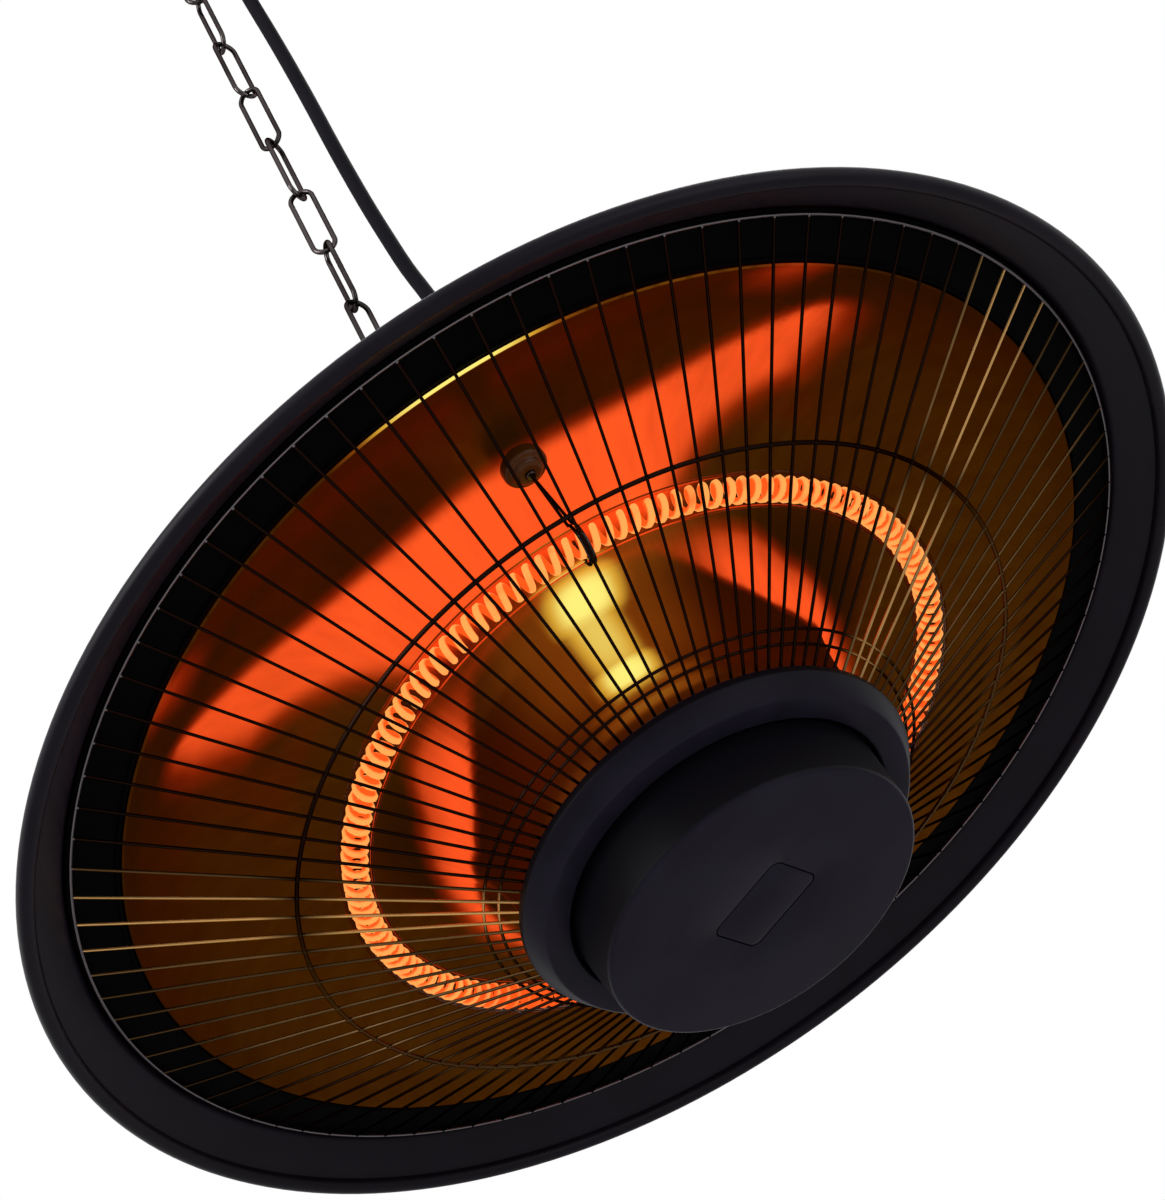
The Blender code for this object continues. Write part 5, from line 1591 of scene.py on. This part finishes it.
@dataclass
class TopHousing:
    """The housing on the shade with its eye, switch and cord gland."""

    radius: float = 0.052
    seat: float = 0.0789
    top: float = 0.118
    wall: float = 0.0015
    fillet: float = 0.004
    flange: float = 0.061
    hole: float = 0.0033
    vents: int = 8
    vent_width_deg: float = 5.0
    vent_length: float = 0.016
    sides: int = 144
    eye_ring: float = 0.0105
    eye_wire: float = 0.0025
    eye_centre: float = 0.13405
    shoulder: float = 0.0075
    neck: float = 0.0042
    shank: float = 0.003
    shank_length: float = 0.013
    switch_place: float = 0.030
    switch: tuple[float, float] = (0.021, 0.015)
    switch_rim: float = 0.0022
    rim_height: float = 0.0018
    switch_depth: float = 0.012
    rocker: float = 0.0092
    rocker_width: float = 0.0096
    throw_deg: float = 8
    gland_place: float = 0.035
    gland_nut: float = 0.009
    gland_nut_height: float = 0.007
    gland_neck: float = 0.0056
    gland_tip: float = 0.0043
    gland_height: float = 0.038
    gland_thread: float = 0.006

    def build(self) -> None:
        """Build the housing and what it carries."""
        piece = Piece("vented_housing", Body.HEATER, Slot.BLACK_STEEL, ("top_housing",))
        piece.deliver(Form(self.shell()).placed(HANGING.heater()), Finishes.SHADE)
        for i in range(3):
            middle = (self.radius + self.flange) / 2
            place = Matrix.Translation(on_circle(middle, 30 + 120 * i, self.seat + self.wall + GAP))
            screw = ScrewHead(radius=0.003, height=0.0018)
            screw.build(f"housing_screw_{i + 1}", HANGING.heater() @ place, Body.HEATER)
        self.build_eye()
        self.build_switch()
        self.build_gland()

    def shell(self) -> BMesh:
        """Return the housing's shell with its vents."""
        corner = (self.radius - self.fillet, self.top - self.fillet)
        high = (self.top + self.seat + self.vent_length) / 2
        low = high - self.vent_length
        inner = self.radius - self.wall
        outline = [(self.hole, self.top), *arc(corner, self.fillet, 90, 0, 8)]
        outline += [(self.radius, high), (self.radius, low)]
        outline += [(self.radius, self.seat + self.wall), (self.flange, self.seat + self.wall)]
        outline += [(self.flange, self.seat), (inner, self.seat), (inner, low), (inner, high)]
        outline += arc(corner, self.fillet - self.wall, 0, 90, 5)
        outline += [(self.hole, self.top - self.wall)]
        made = turned(outline, self.sides)
        for i in range(self.vents):
            self.cut_vent(made, 360 * i / self.vents + 180 / self.sides, low, high)
        bmesh.ops.recalc_face_normals(made, faces=made.faces)
        return softened(made, 0.0003, 2, 50)

    def cut_vent(self, made: BMesh, turn_deg: float, low: float, high: float) -> None:
        """Open one vent through the wall and close its sides."""
        way = on_circle(1, turn_deg)
        limit = math.cos(math.radians(self.vent_width_deg / 2))

        def in_vent(face: BMFace) -> bool:
            """Return whether a face lies where the vent opens."""
            centre = face.calc_center_median()
            across = Vector((centre.x, centre.y, 0))
            ahead = across.length > self.hole and across.normalized().dot(way) > limit
            return low < centre.z < high and ahead

        opened = [face for face in made.faces if in_vent(face)]
        edges = {edge for face in opened for edge in face.edges}
        bmesh.ops.delete(made, geom=opened, context="FACES_ONLY")
        bare = [edge for edge in edges if edge.is_valid and not edge.link_faces]
        bmesh.ops.delete(made, geom=bare, context="EDGES")
        rims = [e for e in edges if e.is_valid and e.is_boundary]
        bmesh.ops.bridge_loops(made, edges=rims)

    def build_eye(self) -> None:
        """Build the eye bolt."""
        circle = arc((0, self.eye_centre), self.eye_ring, 90, 450, 48)[:-1]
        ring = swept([(x, 0, z) for x, z in circle], self.eye_wire, 20, closed=True)
        seat, low = self.top + GAP, self.top + GAP - self.shank_length
        crown = self.eye_centre - self.eye_ring
        outline = [(0, crown), (self.neck, crown)]
        outline += [(self.neck * 1.15, seat + 0.003), (self.shoulder * 0.9, seat + 0.0017)]
        outline += [(self.shoulder, seat + 0.0012), (self.shoulder, seat), (self.shank, seat)]
        outline += [(self.shank, low), (0, low)]
        form = Form(ring, softened(turned(outline, 40), 0.0003)).placed(HANGING.heater())
        Piece("forged_eye", Body.HEATER, Slot.ZINC, ("eye_bolt",)).deliver(form, Finishes.ZINC)

    def build_switch(self) -> None:
        """Build the switch's frame with its well, and the rocker."""
        seat = self.top + GAP
        length, width = (side + self.switch_rim * 2 for side in self.switch)
        axis = seat + self.rim_height
        bezel = slab(rounded_rectangle(length, width, 0.002), self.rim_height)
        lid = max(bezel.faces, key=lambda face: face.calc_center_median().z)
        bmesh.ops.inset_region(bezel, faces=[lid], thickness=0.0006, depth=0.0)
        inset = self.switch_rim - 0.0002
        bmesh.ops.inset_region(bezel, faces=[lid], thickness=inset, depth=0.0)
        well = bmesh.ops.extrude_face_region(bezel, geom=[lid])["geom"]
        verts = verts_of(well)
        bmesh.ops.delete(bezel, geom=[lid], context="FACES_ONLY")
        bmesh.ops.translate(bezel, verts=verts, vec=(0, 0, -self.rim_height * 0.8))
        bmesh.ops.recalc_face_normals(bezel, faces=bezel.faces)
        form = Form(softened(bezel, 0.00025, 2, 50))
        form.placed(raised(seat + self.rim_height / 2))
        body = (*self.switch, self.switch_depth)
        form.add(block(body, 0.0006, (0, 0, self.top - self.switch_depth / 2 - self.wall)))
        form.placed(HANGING.heater() @ Matrix.Translation((-self.switch_place, 0, 0)))
        piece = Piece("switch_bezel", Body.HEATER, Slot.PLASTIC, ("switch_frame",))
        piece.deliver(form, Finishes.PLASTIC)

        rise = self.throw_deg * 1.5
        outline = arc((0, 0), self.rocker, 180 - rise, 360 + rise, 30)
        outline += [(0.002, 0.0002), (-0.002, 0.0002)]
        rocker = softened(slab(outline, self.rocker_width), 0.0004, 3)
        turn = rotated(-self.throw_deg, "Y") @ rotated(90, "X")
        place = Matrix.Translation((-self.switch_place, 0, axis))
        piece = Piece("rocker_key", Body.ROCKER, Slot.PLASTIC, ("switch_rocker",))
        piece.deliver(Form(rocker).placed(HANGING.heater() @ place @ turn), Finishes.PLASTIC)

    def build_gland(self) -> None:
        """Build the gland's nut and its ribbed strain relief."""
        seat = self.top + GAP
        nut_top = seat + self.gland_nut_height
        tip = seat + self.gland_height
        foot = nut_top + self.gland_nut_height
        outline = [(0, tip), (self.gland_tip - 0.0006, tip), (self.gland_tip, tip - 0.0006)]
        ribs = 7
        for i in range(ribs):
            high, low = (tip - 0.0015 - (tip - foot - 0.002) * k / ribs for k in (i, i + 1))
            wide = self.gland_tip + (self.gland_neck - self.gland_tip) * (i + 0.5) / ribs
            groove = wide - 0.0007
            outline += [(wide, high), (wide, high + (low - high) * 0.55)]
            outline += [(groove, high + (low - high) * 0.62), (groove, high + (low - high) * 0.93)]
        seal, end = self.gland_nut * 0.93, seat - 0.011
        outline += [(self.gland_neck, foot), (seal, nut_top + 0.0012), (seal, nut_top)]
        outline += [(self.gland_thread, nut_top), (self.gland_thread, end), (0, end)]
        form = Form(softened(turned(outline, 40), 0.00012))
        nut = bmesh.new()
        bmesh.ops.create_cone(
            nut, cap_ends=True, segments=6, radius1=self.gland_nut, radius2=self.gland_nut,
            depth=self.gland_nut_height, matrix=raised((seat + nut_top) / 2),
        )
        form.add(softened(nut, 0.0007, 3))
        form.placed(HANGING.heater() @ Matrix.Translation((self.gland_place, 0, 0)))
        piece = Piece("ribbed_gland", Body.HEATER, Slot.RUBBER, ("cord_gland",))
        piece.deliver(form, Finishes.RUBBER)


# Power cord


@dataclass
class PowerCord:
    """The cord from the gland up past the chain, its coil, the tie and the plug."""

    radius: float = 0.003
    exit_place: float = 0.035
    exit_height: float = 0.1569
    route: tuple[tuple[float, float, float], ...] = (
        (0.0300, 0.0, 0.045),
        (0.0278, 0.0, 0.066),
        (0.0262, 0.0, 0.0873),
        (0.0240, 0.0, 0.1074),
        (0.0228, 0.0, 0.1283),
        (0.0218, 0.0, 0.1525),
        (0.0212, 0.0, 0.1861),
        (0.0211, 0.0, 0.2252),
        (0.0205, -0.0005, 0.2631),
        (0.0195, -0.0024, 0.2979),
    )
    coil_side: float = 0.019
    coil_drop: float = 0.07845
    coil_radius: float = 0.046
    pitch: float = 0.0067
    loops_in: int = 2
    loops_out: float = 1.875
    coil_steps: int = 24
    dip_share: float = 0.25
    straight_end: float = 0.016
    tie_left: float = -0.0065
    tie_right: float = 0.0455
    tie_half_depth: float = 0.0069
    tie_sheet: float = 0.0012
    tie_width: float = 0.008
    bend_top: float = 0.12
    bend_foot: float = 0.03

    def build(self) -> None:
        """Build the cord and the pieces on it."""
        line = self.middle_line()
        cord = linked("mains_cord", Form(swept(line, self.radius, 20)).mesh, Finishes.CORD)
        cord.data.shade_smooth()
        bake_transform(cord)
        Piece(cord.name, Body.CHAIN, Slot.RUBBER, ("power_cord", "cord_coil")).declare(cord)
        pieces = [self.build_tie(), *self.build_plug(line)]

    def middle_line(self) -> list[Vector]:
        """Return the cord's middle line from the gland to the plug."""
        chain, pivot = HANGING.chain(), HANGING.pivot()
        tip = Vector((self.exit_place, 0, self.exit_height))
        beyond = tip + Vector((0, 0, self.radius * 2))
        coil = [chain @ point for point in self.coil_line()]
        before = coil[0] - chain.to_3x3() @ Vector((0, 0, self.radius * 2))
        climb = [HANGING.heater() @ tip, HANGING.heater() @ beyond]
        climb += [pivot @ Vector(point) for point in self.route]
        return smooth_line([*climb, before, coil[0]], 3) + coil[1:]

    def coil_line(self) -> list[Vector]:
        """Return the coil's middle line: one flat spiral in, one out beside it."""
        centre = Vector((self.coil_side + self.coil_radius, 0, -self.coil_drop))
        inner = self.coil_radius - self.pitch * self.loops_in
        total = self.loops_in + 0.5 + self.loops_out
        points = []
        for i in range(round(total * self.coil_steps) + 1):
            loops = i / self.coil_steps
            climb = min(max((loops - self.loops_in) * 2, 0), 1)
            radius = self.coil_radius - self.pitch * loops
            if loops > self.loops_in:
                radius = inner + self.pitch * max(loops - self.loops_in - 0.5, 0)
                radius -= self.pitch * self.dip_share * math.sin(math.pi * climb)
            turn = math.pi * (1 - 2 * loops)
            depth = self.pitch * (climb - 0.5)
            across, up = radius * math.cos(turn), radius * math.sin(turn)
            points.append(centre + Vector((across, depth, up)))
        first = points[0] - Vector((0, 0, self.radius * 2))
        return [first, *points, points[-1] + self.leaving() * self.straight_end]

    def leaving(self) -> Vector:
        """Return the way in which the cord leaves its coil."""
        leave = FULL_TURN * (self.loops_in + 0.5 + self.loops_out)
        return Vector((math.sin(leave), 0, math.cos(leave)))

    def build_tie(self) -> bpy.types.Object:
        """Build the strap round the coil and the chain, with its lapped end."""
        length, depth = self.tie_right - self.tie_left, self.tie_half_depth * 2
        middle = Vector(((self.tie_left + self.tie_right) / 2, 0, -self.coil_drop))
        strap = bmesh.new()
        outline = rounded_rectangle(length, depth, self.tie_half_depth * 0.95, 10)
        ring = [strap.verts.new((x, y, -self.tie_width / 2)) for x, y in outline]
        edges = [strap.edges.new(pair) for pair in zip(ring, ring[1:] + ring[:1])]
        grown = bmesh.ops.extrude_edge_only(strap, edges=edges)["geom"]
        bmesh.ops.translate(strap, verts=verts_of(grown), vec=(0, 0, self.tie_width))
        bmesh.ops.recalc_face_normals(strap, faces=strap.faces)
        bmesh.ops.solidify(strap, geom=strap.faces, thickness=-self.tie_sheet)
        bmesh.ops.recalc_face_normals(strap, faces=strap.faces)
        form = Form(softened(strap, 0.0002, 2, 50))
        form.placed(HANGING.chain() @ Matrix.Translation(middle))
        piece = Piece("coil_strap", Body.CHAIN, Slot.RUBBER, ("cord_tie",))
        return piece.deliver(form, Finishes.STRAP)

    def build_plug(self, line: Sequence[Vector]) -> list[bpy.types.Object]:
        """Build the plug and its pins at the end of the cord.

        Args:
            line: the cord's middle line.

        Returns:
            The plug and the pins.
        """
        leave = FULL_TURN * (self.loops_in + 0.5 + self.loops_out)
        turn = HANGING.chain().to_3x3() @ Matrix.Rotation(leave, 3, "Y")
        frame = Matrix.Translation(line[-1]) @ turn.to_4x4()
        return Plug().build(frame @ raised(GAP))


@dataclass
class Plug:
    """The moulded two-pin plug."""

    relief: float = 0.032
    relief_radius: float = 0.0043
    neck: float = 0.0065
    shoulder: float = 0.010
    radius: float = 0.019
    length: float = 0.018
    pin: float = 0.0024
    pin_length: float = 0.019
    pin_spacing: float = 0.019
    ribs: int = 8

    def build(self, frame: Matrix) -> list[bpy.types.Object]:
        """Build the body and the two pins.

        Args:
            frame: the cord's end, whose Z axis points out of the cord.

        Returns:
            The body and the pins.
        """
        outline = [(0, 0), (self.relief_radius - 0.0004, 0)]
        step = (self.relief - 0.003) / self.ribs
        for i in range(self.ribs):
            low = 0.001 + step * i
            wide = self.relief_radius + (self.neck - self.relief_radius) * (i + 0.5) / self.ribs
            outline += [(wide, low), (wide, low + step * 0.6)]
            outline += [(wide - 0.0009, low + step * 0.68), (wide - 0.0009, low + step * 0.92)]
        body, face = self.relief + self.shoulder, self.relief + self.shoulder + self.length
        outline += [(self.neck, self.relief), (self.neck * 1.4, self.relief + self.shoulder * 0.15)]
        radius, grip = self.radius, self.radius - 0.0008
        outline += [(radius * 0.8, body - self.shoulder * 0.35), (radius - 0.0006, body - 0.0008)]
        outline += [(radius, body + 0.001), (radius, body + self.length * 0.55)]
        outline += [(grip, body + self.length * 0.58), (grip, face - 0.0008)]
        outline += [(radius - 0.0018, face), (0, face)]
        form = Form(softened(turned(outline, 64), 0.00015)).placed(frame)
        piece = Piece("moulded_plug", Body.CHAIN, Slot.RUBBER, ("plug_body",))
        made = [piece.deliver(form, Finishes.RUBBER)]
        low = face + GAP
        tip = [(0, low), (self.pin, low), (self.pin, low + self.pin_length - 0.0018)]
        tip += [*arc((self.pin - 0.0018, low + self.pin_length - 0.0018), 0.0018, 0, 90, 6)]
        tip += [(0, low + self.pin_length)]
        for number, side in ((1, -1), (2, 1)):
            place = Matrix.Translation((0, side * self.pin_spacing / 2, 0))
            piece = Piece(f"turned_pin_{number}", Body.CHAIN, Slot.PIN, (f"plug_pin_{number}",))
            made.append(piece.deliver(Form(turned(tip, 28)).placed(frame @ place), Finishes.PIN))
        return made


# Pieces kept from the CAD model


CAD_FINISHES = {
    "hub_screw": Finishes.ZINC,
    "centre_post": Finishes.ZINC,
    "post_top_nut": Finishes.ZINC,
    "post_hub_nut": Finishes.ZINC,
    "reflector_washer": Finishes.ZINC,
    "post_reflector_nut": Finishes.ZINC,
    "tube_bracket_left": Finishes.STEEL,
    "tube_bracket_right": Finishes.STEEL,
    "lead_left": Finishes.SLEEVE,
    "lead_right": Finishes.SLEEVE,
    "thermal_cutout": Finishes.ZINC,
    "terminal_block": Finishes.CERAMIC,
    "terminal_screw_1": Finishes.ZINC,
    "terminal_screw_2": Finishes.ZINC,
    "eye_nut": Finishes.ZINC,
    "gland_locknut": Finishes.RUBBER,
}


def dress_cad_nodes() -> None:
    """Give each CAD node that stays its finish."""
    for name, finish in CAD_FINISHES.items():
        for slot in FRAME["nodes"][name].material_slots:
            slot.material = finish.material()
        LOG.info("%s: %s", name, finish.name)


# Studio


@dataclass(frozen=True)
class Lamp:
    """A square lamp: where it hangs from the heater's middle, its side and its power."""

    name: str
    where: tuple[float, float, float]
    size: float
    power: float


@dataclass
class Studio:
    """The camera, the light and the floor."""

    focal_px: float = 3045.4
    frame_px: float = 1200
    sensor_mm: float = 36
    incline_deg: float = 49.56
    roll_deg: float = -37.71
    place: tuple[float, float, float] = (0.01702, 0.04313, 1.0)
    floor_height: float = -2.2
    floor_size: float = 60
    ambient: float = 0.45
    lamps: tuple[Lamp, ...] = (
        Lamp("key", (-1.2, -1.4, 0.4), 1.2, 18),
        Lamp("fill", (1.5, -0.9, -0.6), 1.2, 7),
        Lamp("top", (0.4, 0.9, 1.4), 1.2, 12),
        Lamp("glint", (-0.9, -1.3, 0.9), 0.12, 3.5),
    )

    def build(self) -> None:
        """Set up the studio."""
        self.build_camera()
        self.build_world()
        self.build_floor()
        self.build_lamps()
        bpy.context.scene.view_settings.view_transform = "Standard"

    def build_camera(self) -> None:
        """Set the camera where it sees the rim as the photograph does."""
        lens = bpy.data.cameras.new("camera")
        lens.sensor_width = self.sensor_mm
        lens.lens = self.focal_px / self.frame_px * self.sensor_mm
        lens.clip_start, lens.clip_end = 0.05, 60
        incline, roll = math.radians(self.incline_deg), math.radians(self.roll_deg)
        right = Vector((1, 0, 0))
        ahead = Vector((0, -math.sin(incline), math.cos(incline)))
        seen = Matrix((right, ahead.cross(right), ahead)).transposed()
        seen = Matrix.Rotation(roll, 3, "Z") @ seen
        across, down, away = seen
        turn = Matrix((across, -down, -away)).transposed()
        where = -(seen.transposed() @ Vector(self.place))
        camera = bpy.data.objects.new("camera", lens)
        bpy.context.scene.collection.objects.link(camera)
        camera.matrix_world = HANGING.heater() @ Matrix.Translation(where) @ turn.to_4x4()
        bpy.context.scene.camera = camera

    def build_world(self) -> None:
        """Light all round, with white behind the object and in what it mirrors."""
        world = bpy.data.worlds.new("studio")
        bpy.context.scene.world = world
        world.use_nodes = True
        wiring = Wiring(world.node_tree)
        world.node_tree.nodes.clear()
        path = wiring.add("ShaderNodeLightPath").outputs
        seen = wiring.maths("MAXIMUM", path["Is Camera Ray"], path["Is Glossy Ray"])
        seen = wiring.maths("MAXIMUM", seen, path["Is Transmission Ray"])
        soft = wiring.add("ShaderNodeBackground", {"Color": (1, 1, 1, 1), "Strength": self.ambient})
        white = wiring.add("ShaderNodeBackground", {"Color": (1, 1, 1, 1), "Strength": 1.0})
        inputs = {0: seen, 1: soft.outputs[0], 2: white.outputs[0]}
        mixed = wiring.add("ShaderNodeMixShader", inputs)
        wiring.add("ShaderNodeOutputWorld", {"Surface": mixed.outputs[0]})

    def build_floor(self) -> None:
        """Lay the pale floor."""
        made = bmesh.new()
        place, half = raised(self.floor_height), self.floor_size / 2
        bmesh.ops.create_grid(made, x_segments=1, y_segments=1, size=half, matrix=place)
        finish = Coated("pale floor", (0.8, 0.8, 0.8), 0.7, grain_scale=300.0, pale=1.03)
        floor = linked("floor", made, finish)

    def build_lamps(self) -> None:
        """Hang soft lamps round the heater, and a small one for the glints."""
        heart = HANGING.heater().translation
        for lamp in self.lamps:
            light = bpy.data.lights.new(lamp.name, "AREA")
            light.size, light.energy = lamp.size, lamp.power
            item = bpy.data.objects.new(lamp.name, light)
            bpy.context.scene.collection.objects.link(item)
            item.location = heart + Vector(lamp.where)
            item.rotation_euler = Vector(lamp.where).to_track_quat("Z", "Y").to_euler()


def main() -> None:
    """Build every piece and the studio."""
    logging.basicConfig(level=logging.INFO, format="%(name)s: %(message)s")
    Studio().build()
    PowerCord().build()
    CeilingFitting().build()
    Chain().build()
    SnapHook().build()
    Shade().build()
    Reflector().build()
    Guard().build()
    Hub().build()
    HeatingTube().build()
    TopHousing().build()
    dress_cad_nodes()


if __name__ == "__main__":
    main()
